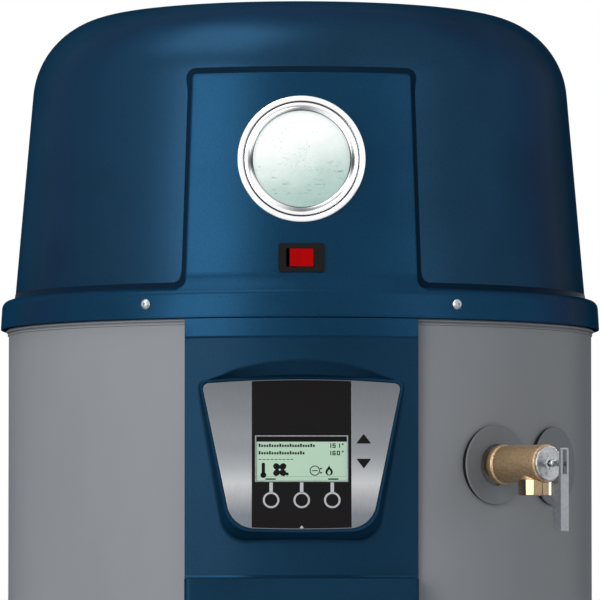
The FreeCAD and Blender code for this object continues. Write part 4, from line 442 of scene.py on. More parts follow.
def placed(points, base, axis, up=(0, 0, 1)):
    # local z goes out along the axis, local y is up, local x across
    out = np.asarray(axis, float)
    side = np.cross(up, out)
    side /= np.linalg.norm(side)
    high = np.cross(out, side)
    return np.asarray(base) + points[..., :1] * side + points[..., 1:2] * high + points[..., 2:3] * out


def radial(angle):
    turn = math.radians(angle)
    return np.array([math.sin(turn), -math.cos(turn), 0.0])


def inwards(outline, distance):
    # a closed 2-D outline moved along its left-hand normals
    step = np.roll(outline, -1, 0) - np.roll(outline, 1, 0)
    step /= np.linalg.norm(step, axis=1)[:, None]
    return outline + np.stack([-step[:, 1], step[:, 0]], 1) * distance


def patch(points, wrapRows=False, wrapCols=False, flip=False, keep=None):
    # quads between neighbouring points of a grid
    rows, cols = points.shape[:2]
    r = np.arange(rows if wrapRows else rows - 1)[:, None]
    c = np.arange(cols if wrapCols else cols - 1)[None, :]
    nextRow, nextCol = (r + 1) % rows, (c + 1) % cols
    faces = np.stack([r * cols + c, nextRow * cols + c, nextRow * cols + nextCol, r * cols + nextCol], -1)
    if keep is not None:
        faces = faces[keep]
    faces = faces.reshape(-1, 4)
    return points.reshape(-1, 3), faces[:, ::-1] if flip else faces


def lid(outline):
    # one flat face over a closed outline
    return np.asarray(outline, float), np.arange(len(outline))[None, :]


def hoop(profile, turns):
    # a closed (radius, height) profile carried all the way round Z
    around = np.linspace(0, 360, turns, endpoint=False)
    return [patch(turned(profile, around), wrapRows=True, wrapCols=True)]


def bar(points):
    # a closed section, its points in rows, carried along the columns, with both ends covered
    return [patch(points, wrapRows=True), lid(points[:, 0]), lid(points[:, -1])]


def drum(rings):
    # closed rings joined each to the next, the first and the last covered
    return [patch(rings, wrapCols=True), lid(rings[0]), lid(rings[-1])]


def blockOf(low, high):
    # six faces of an upright block
    low, high = np.minimum(low, high), np.maximum(low, high)
    pick = np.array([[0, 0, 0], [1, 0, 0], [1, 1, 0], [0, 1, 0], [0, 0, 1], [1, 0, 1], [1, 1, 1], [0, 1, 1]])
    faces = np.array([[0, 3, 2, 1], [4, 5, 6, 7], [0, 1, 5, 4], [1, 2, 6, 5], [2, 3, 7, 6], [3, 0, 4, 7]])
    return np.where(pick == 0, low, high).astype(float), faces


# Meshes: points closer than these become one, and "flat" is the angle under which a copied solid's facets merge
weld = {"made": 0.004, "copied": 0.003, "thin": 0.0001, "flat": 0.3}


def meshOf(name, patches):
    places, faces, start = [], [], 0
    for points, quads in patches:
        places.append(points)
        faces += (quads + start).tolist()
        start += len(points)
    mesh = bpy.data.meshes.new(name)
    mesh.from_pydata(np.concatenate(places) * mm, [], faces)
    work = bmesh.new()
    work.from_mesh(mesh)
    bmesh.ops.remove_doubles(work, verts=work.verts, dist=weld["made"] * mm)
    bmesh.ops.dissolve_degenerate(work, edges=work.edges, dist=weld["thin"] * mm)
    bmesh.ops.recalc_face_normals(work, faces=work.faces)
    work.to_mesh(mesh)
    work.free()
    return mesh


def linked(name, data):
    obj = bpy.data.objects.new(name, data)
    bpy.context.scene.collection.objects.link(obj)
    return obj


def dress(obj, finish, slotName, body, stands, sharp=32.0):
    # smooth shading with crisp edges, material, body and the nodes it stands for
    mesh = obj.data
    mesh.shade_smooth()
    mesh.set_sharp_from_angle(angle=math.radians(sharp))
    mesh.materials.clear()
    mesh.materials.append(finishes[finish or slotName])
    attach(obj, body)
    if stands:
        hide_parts(*stands)
    return obj


def modifier(obj, kind, **settings):
    made = obj.modifiers.new(kind.title(), kind)
    for key, value in settings.items():
        setattr(made, key, value)


def soften(obj, width, segments=3, angle=32.0, flat=False):
    # flat keeps the shading of large plane faces even, right up to the rounded edge
    modifier(obj, "BEVEL", width=width * mm, segments=segments, limit_method="ANGLE",
             angle_limit=math.radians(angle), harden_normals=flat)


def carve(obj, tools, operation="DIFFERENCE"):
    # takes closed shapes out of a piece, or joins them to it, and writes the result into its mesh
    bpy.context.view_layer.update()
    cutter = linked("cutter", meshOf("cutter", tools))
    modifier(obj, "BOOLEAN", operation=operation, solver="EXACT", object=cutter)
    made = bpy.data.meshes.new_from_object(obj.evaluated_get(bpy.context.evaluated_depsgraph_get()))
    obj.modifiers.clear()
    obj.data = made
    bpy.data.objects.remove(cutter)


def newPiece(name, patches, slotName, body="root", stands=(), sharp=32.0, finish=None):
    return dress(linked(name, meshOf(name, patches)), finish, slotName, body, stands, sharp)


def softCopy(node, slotName, body="root", width=0.5, segments=3, finish=None):
    # the node's own solid, merged to a closed mesh, with its edges rounded
    mesh = frame["nodes"][node].data.copy()
    work = bmesh.new()
    work.from_mesh(mesh)
    bmesh.ops.remove_doubles(work, verts=work.verts, dist=weld["copied"] * mm)
    bmesh.ops.dissolve_limit(work, angle_limit=math.radians(weld["flat"]), verts=work.verts, edges=work.edges)
    work.to_mesh(mesh)
    work.free()
    obj = dress(linked(node + "_soft", mesh), finish, slotName, body, (node,))
    if width:
        soften(obj, width, segments, flat=True)
    return obj


# Dome: a leaning wall, a round shoulder and a shallow crown, turned about the axis
dome = {"footInset": 3.8, "lean": 4.94, "shoulder": 90.0, "roof": 331.0, "crown": 2.0, "wall": 3.0, "soft": 0.7,
        "turns": 256, "wallRows": 26, "shoulderRows": 26, "crownRows": 12,
        "louvres": 13, "louvrePitch": 13.0, "louvreTall": 5.5, "louvreLow": 62.0, "louvreWide": 150.0,
        "louvreSides": (180.0, 125.0, -125.0), "windowHalf": 84.0, "windowLow": 45.0, "windowHigh": 230.0,
        "slotHalf": 100.4, "slotNear": 175.6, "slotFar": 185.4, "slotLow": 90.0, "slotHigh": 345.0}
lean = math.radians(dome["lean"])
domeFoot = jacketRadius - dome["footInset"]
shoulderUp = dome["roof"] - dome["shoulder"]
tangentUp = shoulderUp + dome["shoulder"] * math.sin(lean)
shoulderIn = domeFoot - math.tan(lean) * tangentUp - dome["shoulder"] * math.cos(lean)


def domeRadius(up, proud=0.0):
    # radius of the dome, or of a skin standing proud of it, at a height above the rim's foot:
    # foot radius less height x tan(lean) on the wall, centre + sqrt(R^2 - rise^2) on the shoulder
    big = dome["shoulder"] + proud
    wall = domeFoot + proud / math.cos(lean) - math.tan(lean) * up
    rise = np.clip(up - shoulderUp, 0, big)
    return np.where(rise > big * math.sin(lean), shoulderIn + np.sqrt(big ** 2 - rise ** 2), wall)


def domeProfile(proud):
    # (radius, height) from the foot to the axis: the wall, an arc, and a crown of radius (r^2 + c^2) / 2c
    big = dome["shoulder"] + proud
    up = np.linspace(0, shoulderUp + big * math.sin(lean), dome["wallRows"] + 1)
    wall = np.stack([domeFoot + proud / math.cos(lean) - math.tan(lean) * up, up], 1)
    turn = np.linspace(lean, math.pi / 2, dome["shoulderRows"] + 1)[1:]
    shoulder = np.stack([shoulderIn + big * np.cos(turn), shoulderUp + big * np.sin(turn)], 1)
    reach = np.linspace(shoulderIn, 0, dome["crownRows"] + 1)[1:]
    crownRadius = (shoulderIn ** 2 + dome["crown"] ** 2) / (2 * dome["crown"])
    crown = shoulderUp + big + dome["crown"] - crownRadius + np.sqrt(crownRadius ** 2 - reach ** 2)
    return np.concatenate([wall, shoulder, np.stack([reach, crown], 1)]) + [0, rimFoot]


def domeOpenings():
    # louvres on three sides, the slot that the filter slides in, and the window behind the front cover
    d = dome
    tools = []
    for side in d["louvreSides"]:
        turn = math.radians(side - 180)
        spin = np.array([[math.cos(turn), math.sin(turn), 0], [-math.sin(turn), math.cos(turn), 0], [0, 0, 1]])
        for i in range(d["louvres"]):
            low = rimFoot + d["louvreLow"] + d["louvrePitch"] * i
            points, faces = blockOf((-d["louvreWide"] / 2, domeFoot / 2, low),
                                    (d["louvreWide"] / 2, rimRadius, low + d["louvreTall"]))
            tools.append((points @ spin, faces))
    tools.append(blockOf((-d["slotHalf"], d["slotNear"], rimFoot + d["slotLow"]),
                         (d["slotHalf"], d["slotFar"], rimFoot + d["slotHigh"])))
    tools.append(blockOf((-d["windowHalf"], -rimRadius, rimFoot + d["windowLow"]),
                         (d["windowHalf"], -domeFoot / 2, rimFoot + d["windowHigh"])))
    return tools


# Rim: one profile for both halves, a drafted band with a round shoulder and a flat ledge in to the dome
rim = {"tall": 31.0, "draft": 1.9, "wall": 3.0, "fillet": 9.0, "turns": 128, "lip": 0.8, "inner": 0.3, "soft": 0.4,
       "clear": 1.2}


def rimHalf(start, clear):
    # the profile carried half way round; its outside leans in to radius R - draft x height / tall
    r = rim
    under = r["tall"] - r["wall"]
    inner = float(domeRadius(under)) + clear
    upper = rimRadius - r["draft"]
    points = [(rimRadius, 0), (upper, r["tall"]), (inner, r["tall"]), (inner, under), (upper - r["wall"], under),
              (rimRadius - r["wall"], 0)]
    radii = [r["lip"], r["fillet"], r["inner"], r["inner"], r["fillet"] - r["wall"], r["lip"]]
    profile = roundedLine(points, radii, [3, 10, 2, 2, 8, 3], [6, 2, 1, 2, 6, 1], True) + [0, rimFoot]
    return bar(turned(profile, np.linspace(start, start + 180, r["turns"] + 1)))


shell = np.concatenate([domeProfile(0), domeProfile(-dome["wall"])[::-1]])
shroud = newPiece("shroudShell", hoop(shell, dome["turns"]), "blue_plastic", stands=("shroud",),
                  finish="shroud_blue")
carve(shroud, domeOpenings())
soften(shroud, dome["soft"], 2, 50)
rimBack = newPiece("rimBack", rimHalf(90, -dome["wall"] / 2), "blue_plastic", stands=("shroud",))
soften(rimBack, rim["soft"], 2, 60)
print("shroud made")

# Front cover: a panel round the switch's opening, its edge rolled, and the front half of the rim.
# Its outline runs from the middle of its foot, along the rim's ledge and up the flared sides.
frontCover = {"proud": 4.6, "clear": 0.6, "top": 250.2, "halfTop": 111.2, "halfFoot": 118.2, "foot": 29.0,
              "corner": 4.5, "flare": 12.0, "footReach": 1.4, "steps": [24, 1, 6, 50, 60, 50, 6, 1, 24],
              "edge": 1.6, "edgeRows": 6, "rows": 44, "backRows": 24, "holeHalf": 20.3, "holeTall": 11.8,
              "holeUp": 60.7, "holeCorner": 1.5, "holeSteps": [12, 16, 24, 16, 12]}
panelLow = rim["tall"] - rim["wall"]
panelWide = frontCover["halfFoot"] + frontCover["footReach"] * frontCover["flare"]


def frontOutline():
    # two leaning sides with rounded tops, each foot flared out in an arc to the ledge of the rim
    c = frontCover
    points = [(0, panelLow), (panelWide, panelLow), (panelWide, c["foot"]), (c["halfFoot"], c["foot"]),
              (c["halfTop"], c["top"]), (-c["halfTop"], c["top"]), (-c["halfFoot"], c["foot"]),
              (-panelWide, c["foot"]), (-panelWide, panelLow)]
    radii = [0, 0, 0, c["flare"], c["corner"], c["corner"], c["flare"], 0, 0]
    return roundedLine(points, radii, 10, c["steps"], True)


def onDome(x, up, proud):
    # points across the dome's front: y = -sqrt(r(up)^2 - x^2)
    return onRound(x, domeRadius(up, proud), up + rimFoot)


def lengths(line):
    # the length of a closed line up to each of its points, and back to the first
    step = np.linalg.norm(np.roll(line, -1, 0) - line, axis=1)
    return np.concatenate([[0], np.cumsum(step)])


def nearest(line, place):
    return np.argmin(np.linalg.norm(line - place, axis=1))


def frontPanel():
    # rows of points on the dome, from the outline's back over a quarter round of the edge's radius,
    # straight in to the hole, and back behind the face
    c = frontCover
    outline = frontOutline()
    hole = roundedLine([(0, -c["holeTall"]), (c["holeHalf"], -c["holeTall"]), (c["holeHalf"], c["holeTall"]),
                        (-c["holeHalf"], c["holeTall"]), (-c["holeHalf"], -c["holeTall"])],
                       [0] + [c["holeCorner"]] * 4, 6, c["holeSteps"], True) + [0, c["holeUp"]]
    # each corner of the outline is matched to a place on the hole, given in halves of the hole's size,
    # and the points between two corners are matched by length
    outLength, holeLength = lengths(outline), lengths(hole)
    flareTop = c["foot"] + c["flare"]
    marks = [(0, panelLow), (panelWide, c["foot"]), (c["halfFoot"], flareTop), (c["halfTop"], c["top"]),
             (-c["halfTop"], c["top"]), (-c["halfFoot"], flareTop), (-panelWide, c["foot"])]
    holeMarks = np.array([(0, -1), (0.92, -1), (1, -0.9), (1, 1), (-1, 1), (-1, -0.9), (-0.92, -1)])
    holeMarks = holeMarks * [c["holeHalf"], c["holeTall"]] + [0, c["holeUp"]]
    fromKeys = [outLength[nearest(outline, place)] for place in marks] + [outLength[-1]]
    toKeys = [holeLength[nearest(hole, place)] for place in holeMarks] + [holeLength[-1]]
    fromKeys[0] = toKeys[0] = 0.0
    matched = np.interp(outLength[:-1], fromKeys, toKeys)
    ring = np.concatenate([hole, hole[:1]])
    inner = np.stack([np.interp(matched, holeLength, ring[:, k]) for k in (0, 1)], 1)
    rows = [(outline, c["clear"])]
    for turn in np.radians(np.linspace(0, 90, c["edgeRows"])):
        rows.append((inwards(outline, c["edge"] * (1 - math.cos(turn))),
                     c["proud"] - c["edge"] * (1 - math.sin(turn))))
    first = inwards(outline, c["edge"])
    rows += [(first + (inner - first) * share, c["proud"]) for share in np.linspace(0, 1, c["rows"] + 1)[1:]]
    rows += [(inner, c["clear"])]
    rows += [(inner + (outline - inner) * share, c["clear"]) for share in np.linspace(0, 1, c["backRows"])[1:-1]]
    points = np.stack([onDome(line[:, 0], line[:, 1], proud) for line, proud in rows])
    return [patch(points, wrapRows=True, wrapCols=True)]


newPiece("frontPanel", frontPanel(), "blue_plastic", stands=("front_cover",), sharp=40)
rimFront = newPiece("rimFront", rimHalf(-90, rim["clear"]), "blue_plastic", stands=("front_cover",))
soften(rimFront, rim["soft"], 2, 60)

# Channel: a dark strip round the panel and along the rim's ledge, painted shade in the joint; its widths at heights
# up from the foot
channel = {"under": 1.4, "heights": [0.0, 3.0, 18.0], "belowTop": 18.0, "widths": [8.2, 8.2, 3.8, 3.8, 6.2],
           "lean": 2.6, "proud": 0.3, "sunk": 0.5, "across": 4, "sideTurns": 60}


def panelChannel():
    # a flat bar laid on the dome: the outline moved out by w(height), then on at one height to the rim's ends
    c, k = frontCover, channel
    outline = frontOutline()
    ends = [nearest(outline, (side * panelWide, c["foot"])) for side in (1, -1)]
    tall = c["top"] - c["foot"]
    keys = k["heights"] + [tall - k["belowTop"], tall]
    width = np.interp(outline[:, 1] - c["foot"], keys, k["widths"])[:, None]
    rows = []
    shares = np.linspace(0, 1, k["across"] + 1)
    for share in shares:
        moved = inwards(outline, -(share * (width + k["under"]) - k["under"]))[ends[0] + 1:ends[1]]
        turn = np.arcsin(moved[:, 0] / domeRadius(moved[:, 1]))
        run = np.linspace(math.pi / 2, turn[0], k["sideTurns"], endpoint=False)
        flat = np.full(len(run), moved[0, 1])
        rows.append((np.concatenate([run, turn, -run[::-1]]), np.concatenate([flat, moved[:, 1], flat])))
    outer, under = [[aboutAxis(domeRadius(up, proud), turn, up + rimFoot) for (turn, up), proud in zip(rows, pile)]
                    for pile in (k["proud"] + k["lean"] * (1 - shares) ** 2, 0 * shares - k["sunk"])]
    return bar(np.stack(outer + under[::-1]))


# Blend: the panel's foot run out into the rim, a hair proud of the band and under the panel's face
blend = {"top": 47.5, "low": 19.0, "foot": 1.2, "deep": 8.0, "rows": 40, "cols": 80, "sunk": 0.15, "proud": 0.12,
         "footSunk": 0.4, "sideIn": 0.4, "topIn": 2.0, "curl": 0.98}


def footBlend():
    # radius t^2(3-2t) of the way from the panel's face to the rim's, t from 0 at the top to 1 at the low line;
    # half width out by flare x (1 - sqrt(1 - curl^2)) as the panel's flared sides are
    c, b = frontCover, blend
    up = np.linspace(b["top"], b["foot"], b["rows"] + 1)
    t = np.clip((b["top"] - up) / (b["top"] - b["low"]), 0, 1)
    panel = domeRadius(up, c["proud"]) - b["sunk"] * (t == 0)
    band = rimRadius - rim["draft"] * up / rim["tall"] + b["proud"]
    band[-1] -= b["footSunk"]
    radius = panel + (band - panel) * t * t * (3 - 2 * t)
    curl = np.clip(1 - (up - c["foot"]) / c["flare"], 0, b["curl"])
    half = c["halfFoot"] - b["sideIn"] - b["topIn"] * (1 - t) + c["flare"] * (1 - np.sqrt(1 - curl ** 2))
    turn = np.arcsin(half / radius)[:, None] * np.linspace(1, -1, b["cols"] + 1)
    outer, inner = [aboutAxis(r[:, None], turn, (up + rimFoot)[:, None]) for r in (radius, radius - b["deep"])]
    return bar(np.concatenate([outer, inner[::-1]]))


# the channel's dark blue is painted shade in the joint
newPiece("panelChannel", panelChannel(), "blue_plastic", stands=("front_cover",), sharp=40, finish="channel_shade")
newPiece("footBlend", footBlend(), "blue_plastic", stands=("front_cover",), sharp=40)
print("front cover made")

# Sizes of the control cover and its sloping panel, which the jacket's window follows;
# "lip" is the section along the cover's foot, as distances out of its face and up from its foot
control = {"halfWide": 118.0, "bandProud": 10.0, "bandTall": 18.6, "step": 2.2, "upperProud": 8.8, "lowerProud": 4.0,
           "tall": 262.0, "gap": 0.6, "roofIn": 3.0, "topDrop": 61.6, "topSink": 7.0, "tilt": 11.3, "long": 154.0,
           "halfTop": 101.0, "halfFoot": 70.4, "arch": 4.6, "archShare": 0.85, "belly": 2.0, "bellyShare": 0.5,
           "topCorner": 6.0, "footCorner": 28.0, "rim": 2.6, "seat": 1.5, "seatIn": 6.0, "seatOut": 0.4,
           "flareSide": 5.0, "flareFoot": 6.0, "deep": 42.0, "rise": 54.0, "reach": 44.0, "ledge": 0.7,
           "wallRows": 5, "hollowRows": 8, "faceRows": 9, "soft": 0.8, "fillet": 5.0, "crease": 1.6,
           "hollowMost": 0.7, "back": 0.3, "lipIn": 0.2, "lipSteps": 60,
           "lip": ((-0.4, 3.0), (1.5, 0.3), (1.3, -0.1), (-1.5, -0.1))}
panelTilt = math.radians(control["tilt"])
panelBase = np.array([0, control["topSink"] - jacketRadius, rimFoot - control["topDrop"]])
panelOut = np.array([0, -math.cos(panelTilt), math.sin(panelTilt)])
panelUp = np.array([0, math.sin(panelTilt), math.cos(panelTilt)])
coverBack = jacketRadius + control["back"]

# Jacket: painted wrap with a window behind the panel, and the cap's rolled bead under the rim
jacket = {"wall": 1.0, "foot": 3.0, "turns": 256, "rows": 24, "windowHalf": 84.0, "windowNear": 262.0,
          "windowFar": 340.0, "windowUnder": 13.4, "windowOver": 4.8, "beadProud": 2.6, "beadTall": 5.0,
          "beadDrop": 1.2, "beadLip": 1.6, "groove": 1.7, "grooveDeep": 0.6, "ridge": 1.2, "capDeep": 22.0,
          "capIn": 1.0, "capWall": 1.2}


def jacketBead():
    # section of the cap: flat roof, rolled bead, groove, ridge, then a skirt down inside the wrap
    j = jacket
    out, top = jacketRadius + j["beadProud"], rimFoot - j["beadDrop"]
    lipFoot, foot = top - j["beadLip"], top - j["beadTall"]
    grooveFoot, grooveIn = lipFoot - j["groove"], jacketRadius - j["grooveDeep"]
    ridge, skirt, skirtFoot = jacketRadius + j["ridge"], jacketRadius - j["capIn"], rimFoot - j["capDeep"]
    points = [(0, rimFoot - j["capWall"]), (0, rimFoot), (out - j["capWall"], rimFoot), (out, top), (out, lipFoot),
              (grooveIn, lipFoot), (grooveIn, grooveFoot), (ridge, grooveFoot), (ridge, foot), (skirt, foot),
              (skirt, skirtFoot), (skirt - j["capWall"], skirtFoot), (skirt - j["capWall"], rimFoot - j["capWall"])]
    return roundedLine(points, [0, 0, 0.6, 0.6, 0.7, 0.2, 0.2, 0.5, 0.5, 0.3, 0, 0, 0.4], 5, 2, True)


levels = np.linspace(jacket["foot"], corners("outer_jacket")[1][2], jacket["rows"] + 1)
wrap = np.concatenate([np.stack([np.full_like(levels, jacketRadius), levels], 1),
                       np.stack([np.full_like(levels, jacketRadius - jacket["wall"]), levels], 1)[::-1]])
wrapPiece = newPiece("jacketWrap", hoop(wrap, jacket["turns"]), "jacket_paint", stands=("outer_jacket",))
panelFoot = rimFoot - control["topDrop"] - control["long"] * math.cos(panelTilt)
carve(wrapPiece, [blockOf((-jacket["windowHalf"], -jacket["windowFar"], panelFoot - jacket["windowUnder"]),
                          (jacket["windowHalf"], -jacket["windowNear"],
                           rimFoot - control["topDrop"] + jacket["windowOver"]))])
newPiece("beadCap", hoop(jacketBead(), jacket["turns"]), "jacket_paint", stands=("jacket_top_cap",))
print("jacket made")


# Control cover: a surface carried round the panel's outline, from the seat out to the cover's edges
def onPanel(points):
    return placed(np.asarray(points, float), panelBase, panelOut)


def bowRadius(share, rise, half):
    # radius that rounds off a share of the two sloping runs which rise to the middle
    return share * half / math.tan(math.atan2(rise, half))


def panelOutline(grow=0.0, side=0.0, foot=0.0):
    # shield: arched top, sides drawn in downwards, large lower corners, slight belly
    c = control
    halfTop, halfFoot = c["halfTop"] + (grow + side), c["halfFoot"] + (grow + side)
    upper, lower = grow - c["arch"], -c["long"] - (grow + foot)
    apex = upper + c["arch"] / (1 - c["archShare"] / 2)
    points = [(0, apex), (-halfTop, upper), (-halfFoot, lower), (0, lower - c["belly"]), (halfFoot, lower),
              (halfTop, upper)]
    radii = [bowRadius(c["archShare"], apex - upper, halfTop), c["topCorner"], c["footCorner"],
             bowRadius(c["bellyShare"], c["belly"], halfFoot), c["footCorner"], c["topCorner"]]
    return roundedLine(points, radii, [30, 8, 14, 14, 14, 8], [5, 30, 3, 3, 30, 5], True)


def stripRadius(up):
    # the band, a short step and a slightly drafted face below it
    c = control
    keys = [-c["tall"], -c["bandTall"] - c["step"], -c["bandTall"], 0]
    return jacketRadius + np.interp(up, keys, [c["lowerProud"], c["upperProud"], c["bandProud"], c["bandProud"]])


def onStrip(x, up):
    # points across the cover's round face, the height from the rim's foot
    return onRound(x, stripRadius(up), up + rimFoot)


def beyond(points):
    # how far points stand out of the cover's round face
    return np.hypot(points[:, 0], points[:, 1]) - stripRadius(points[:, 2] - rimFoot)


def coverWall(near):
    # where the wall starts and where it meets the cover's round face, the latter found by halving.
    # Above the panel it goes straight out past the jacket, L = (y + sqrt(R^2 - x^2)) / cos(tilt),
    # and then slopes up by rise * (1 - (x / half width)^2); round the foot it goes back to the face
    c = control
    inside = beyond(near) < 0
    out = (near[:, 1] + np.sqrt((jacketRadius + c["ledge"]) ** 2 - near[:, 0] ** 2)) / math.cos(panelTilt)
    ledge = near + np.where(inside, np.maximum(out, 0), 0)[:, None] * panelOut
    arch = np.clip(1 - (near[:, 0] / (c["halfTop"] + c["rim"])) ** 2, 0, 1)[:, None]
    recess = panelOut * c["reach"] + panelUp * c["rise"] * arch
    pod = onPanel(raised(panelOutline(c["rim"], c["flareSide"], c["flareFoot"]), -c["deep"])) - near
    far = np.where(inside[:, None], recess, pod)
    low, high = np.zeros(len(near)), np.ones(len(near))
    for _ in range(40):
        middle = (low + high) / 2
        here = beyond(ledge + far * middle[:, None]) < 0
        low = np.where(here == inside, middle, low)
        high = np.where(here == inside, high, middle)
    return ledge, ledge + far * low[:, None], inside


def coverFace():
    # the seat, the wall, a hollow (1-t)^2 start + 2t(1-t) meet + t^2 end, and straight rows to the cover's edges
    c = control
    near = onPanel(raised(panelOutline(c["rim"]), 0.0))
    ledge, meet, inside = coverWall(near)
    top, foot = -c["bandTall"] - c["step"], -c["tall"]
    centre = np.array([0, (top + foot) / 2])
    flat = np.stack([meet[:, 0], meet[:, 2] - rimFoot], 1)
    ray = np.maximum(np.abs(flat - centre), 1e-6)
    scale = np.minimum(c["halfWide"] / ray[:, 0], (top - foot) / 2 / ray[:, 1])
    edge = centre + (flat - centre) * scale[:, None]
    for corner in [(-c["halfWide"], top), (-c["halfWide"], foot), (c["halfWide"], foot), (c["halfWide"], top)]:
        edge[nearest(edge, corner)] = corner
    outward = (edge - flat) / np.linalg.norm(edge - flat, axis=1)[:, None]
    wall = np.linalg.norm(meet - ledge, axis=1)[:, None]
    hollow = np.minimum(np.where(inside, c["crease"], c["fillet"])[:, None], c["hollowMost"] * wall)
    start = meet + (ledge - meet) * hollow / np.maximum(wall, 1e-6)
    ends = flat + outward * hollow
    end = onStrip(ends[:, 0], ends[:, 1])
    rows = [onPanel(raised(panelOutline(grow), height))
            for grow, height in ((-c["seatIn"], -c["seat"]), (c["seatOut"], -c["seat"]), (c["seatOut"], 0.0))]
    rows += [near + (ledge - near) * share for share in (0, 0.5)]
    rows += [ledge + (start - ledge) * share for share in np.linspace(0, 1, c["wallRows"] + 1)[:-1]]
    rows += [(1 - t) ** 2 * start + 2 * t * (1 - t) * meet + t ** 2 * end
             for t in np.linspace(0, 1, c["hollowRows"] + 1)]
    places = [ends + (edge - ends) * share for share in np.linspace(0, 1, c["faceRows"] + 1)[1:]]
    rows += [onStrip(place[:, 0], place[:, 1]) for place in places]
    ring = rows[-1]
    onTop = edge[:, 1] > top - 1e-3
    below = ~(onTop & np.roll(onTop, -1))
    sides = np.stack([ring, onRound(ring[:, 0], coverBack, ring[:, 2])])
    faces = [patch(np.stack(rows), wrapCols=True, flip=True),
             patch(sides, wrapCols=True, keep=(slice(None), below), flip=True)]
    return faces, np.sort(edge[onTop, 0])


def coverBand(across):
    # the band over the face with its roof and cheeks, and a lip along the foot: four sided, sloping side up
    c = control
    top = -c["bandTall"] - c["step"]
    band = np.stack([onStrip(across, np.full_like(across, up)) for up in (top, -c["bandTall"], -c["gap"])])
    roof = np.stack([band[-1], onRound(across, jacketRadius + c["roofIn"], rimFoot - c["gap"])])
    faces = [patch(band), patch(roof)]
    for column in (0, -1):
        outer = band[:, column]
        faces.append(patch(np.stack([outer, onRound(outer[:, 0], coverBack, outer[:, 2])]), flip=column == 0))
    half = c["halfWide"] - c["lipIn"]
    across = np.linspace(-half, half, c["lipSteps"] + 1)
    lip = [onStrip(across, np.full_like(across, up - c["tall"])) * [1, 1 + proud / jacketRadius, 1]
           for proud, up in c["lip"]]
    return faces + bar(np.stack(lip))


facePatches, topEdge = coverFace()
# its face wears the darker blue, painted shade
cover = newPiece("controlCover", facePatches, "blue_plastic", stands=("control_cover",), sharp=30,
                 finish="strip_plastic_painted_shade")
soften(cover, control["soft"], 3, 24)
band = newPiece("controlBand", coverBand(topEdge), "blue_plastic", stands=("control_cover",), sharp=30)
soften(band, control["soft"], 3, 24)
print("control cover made")

# Lower cover: flat front with a slight bow, rolled edges
lower = {"halfWide": 118.0, "proud": 11.0, "bow": 5.0, "bowShare": 0.85, "edge": 6.0, "soft": 1.6, "rows": 12}


def lowerCover():
    # a bowed line with rounded ends, raised through even levels; behind it y = -sqrt(R^2 - x^2)
    c = lower
    low, high = corners("lower_cover")
    front = jacketRadius + c["proud"]
    side = front - c["bow"]
    back = math.sqrt(coverBack ** 2 - c["halfWide"] ** 2)
    radii = [0, c["edge"], bowRadius(c["bowShare"], c["bow"], c["halfWide"]), c["edge"], 0]
    outline = roundedLine([(-c["halfWide"], -back), (-c["halfWide"], -side), (0, -front), (c["halfWide"], -side),
                           (c["halfWide"], -back)], radii, [1, 8, 30, 8, 1], [2, 3, 3, 2, 1])
    behind = onRound(outline[::-1, 0], coverBack, 0.0)[1:-1, :2]
    ring = np.concatenate([outline, behind])
    return drum(np.stack([raised(ring, z) for z in np.linspace(low[2], high[2], c["rows"] + 1)]))


# the lower cover wears the darker blue too, painted shade
lowerPiece = newPiece("lowerCover", lowerCover(), "blue_plastic", stands=("lower_cover",), sharp=30,
                      finish="strip_plastic_painted_shade")
soften(lowerPiece, lower["soft"], 4, 50)
print("lower cover made")


# Local frames of the small assemblies: z goes out along the axis, y is up
def onPort(points, turn, height):
    return placed(points, radial(turn) * jacketRadius + [0, 0, height], radial(turn))


def onRelief(points):
    return onPort(points, valve["turn"], rimFoot - valve["drop"])


def downOutlet(points):
    # local z runs down from the valve's axis
    return placed(points, onRelief(np.array([0, 0, valve["outletAt"]])), (0, 0, -1), radial(valve["turnOutlet"]))


def spun(profile, turns):
    # a (radius, distance) profile spun round the local z axis: (r cos a, r sin a, distance)
    angle = np.linspace(0, 2 * math.pi, turns, endpoint=False)[None, :]
    radius, out = profile[:, :1], profile[:, 1:2]
    return np.stack([radius * np.cos(angle), radius * np.sin(angle), out + 0 * angle], -1)


def solidSpin(profile, place, turns=96, closed=False):
    return [patch(place(spun(profile, turns)), wrapRows=closed, wrapCols=True)]


def prismOf(outline, low, high, place):
    # closed outline in local x, y raised from one distance to another
    return drum(place(np.stack([raised(outline, low), raised(outline, high)])))


def circle(radius, steps=48, centre=(0, 0), start=0.0, sweep=360.0):
    turn = np.radians(np.linspace(start, start + sweep, steps, endpoint=sweep < 360))
    return np.stack([centre[0] + radius * np.cos(turn), centre[1] + radius * np.sin(turn)], 1)


# Round plates over the ports, each on a dark ring that fills the gap under its edge as painted shade: "places" are
# turn, height and the hole's radius
port = {"radius": 40.5, "proud": 4.5, "edge": 0.9, "backEdge": 0.3, "shadeRingTall": 2.6, "shadeRingIn": 0.7, "seat": 0.05,
        "turns": 96, "places": ((39.5, rimFoot - 147.0, 21.0), (57.0, rimFoot - 147.0, 17.4), (57.0, 230.0, 17.4))}


def seated(profile, turn, height, rows):
    # the outline's back rows are pushed back to the jacket's curve: y = -sqrt(R^2 - x^2) in the port's frame
    ring = spun(profile, port["turns"])
    for row in rows:
        ring[row, :, 2] += np.sqrt(jacketRadius ** 2 - ring[row, :, 0] ** 2) - jacketRadius
    return patch(onPort(ring, turn, height), wrapRows=True, wrapCols=True)


def plateProfile(hole):
    p = port
    return roundedLine([(hole, p["shadeRingTall"]), (p["radius"], p["shadeRingTall"]), (p["radius"], p["proud"]),
                        (hole, p["proud"])], [0, p["backEdge"], p["edge"], 0], 5, [6, 1, 10, 1], True)


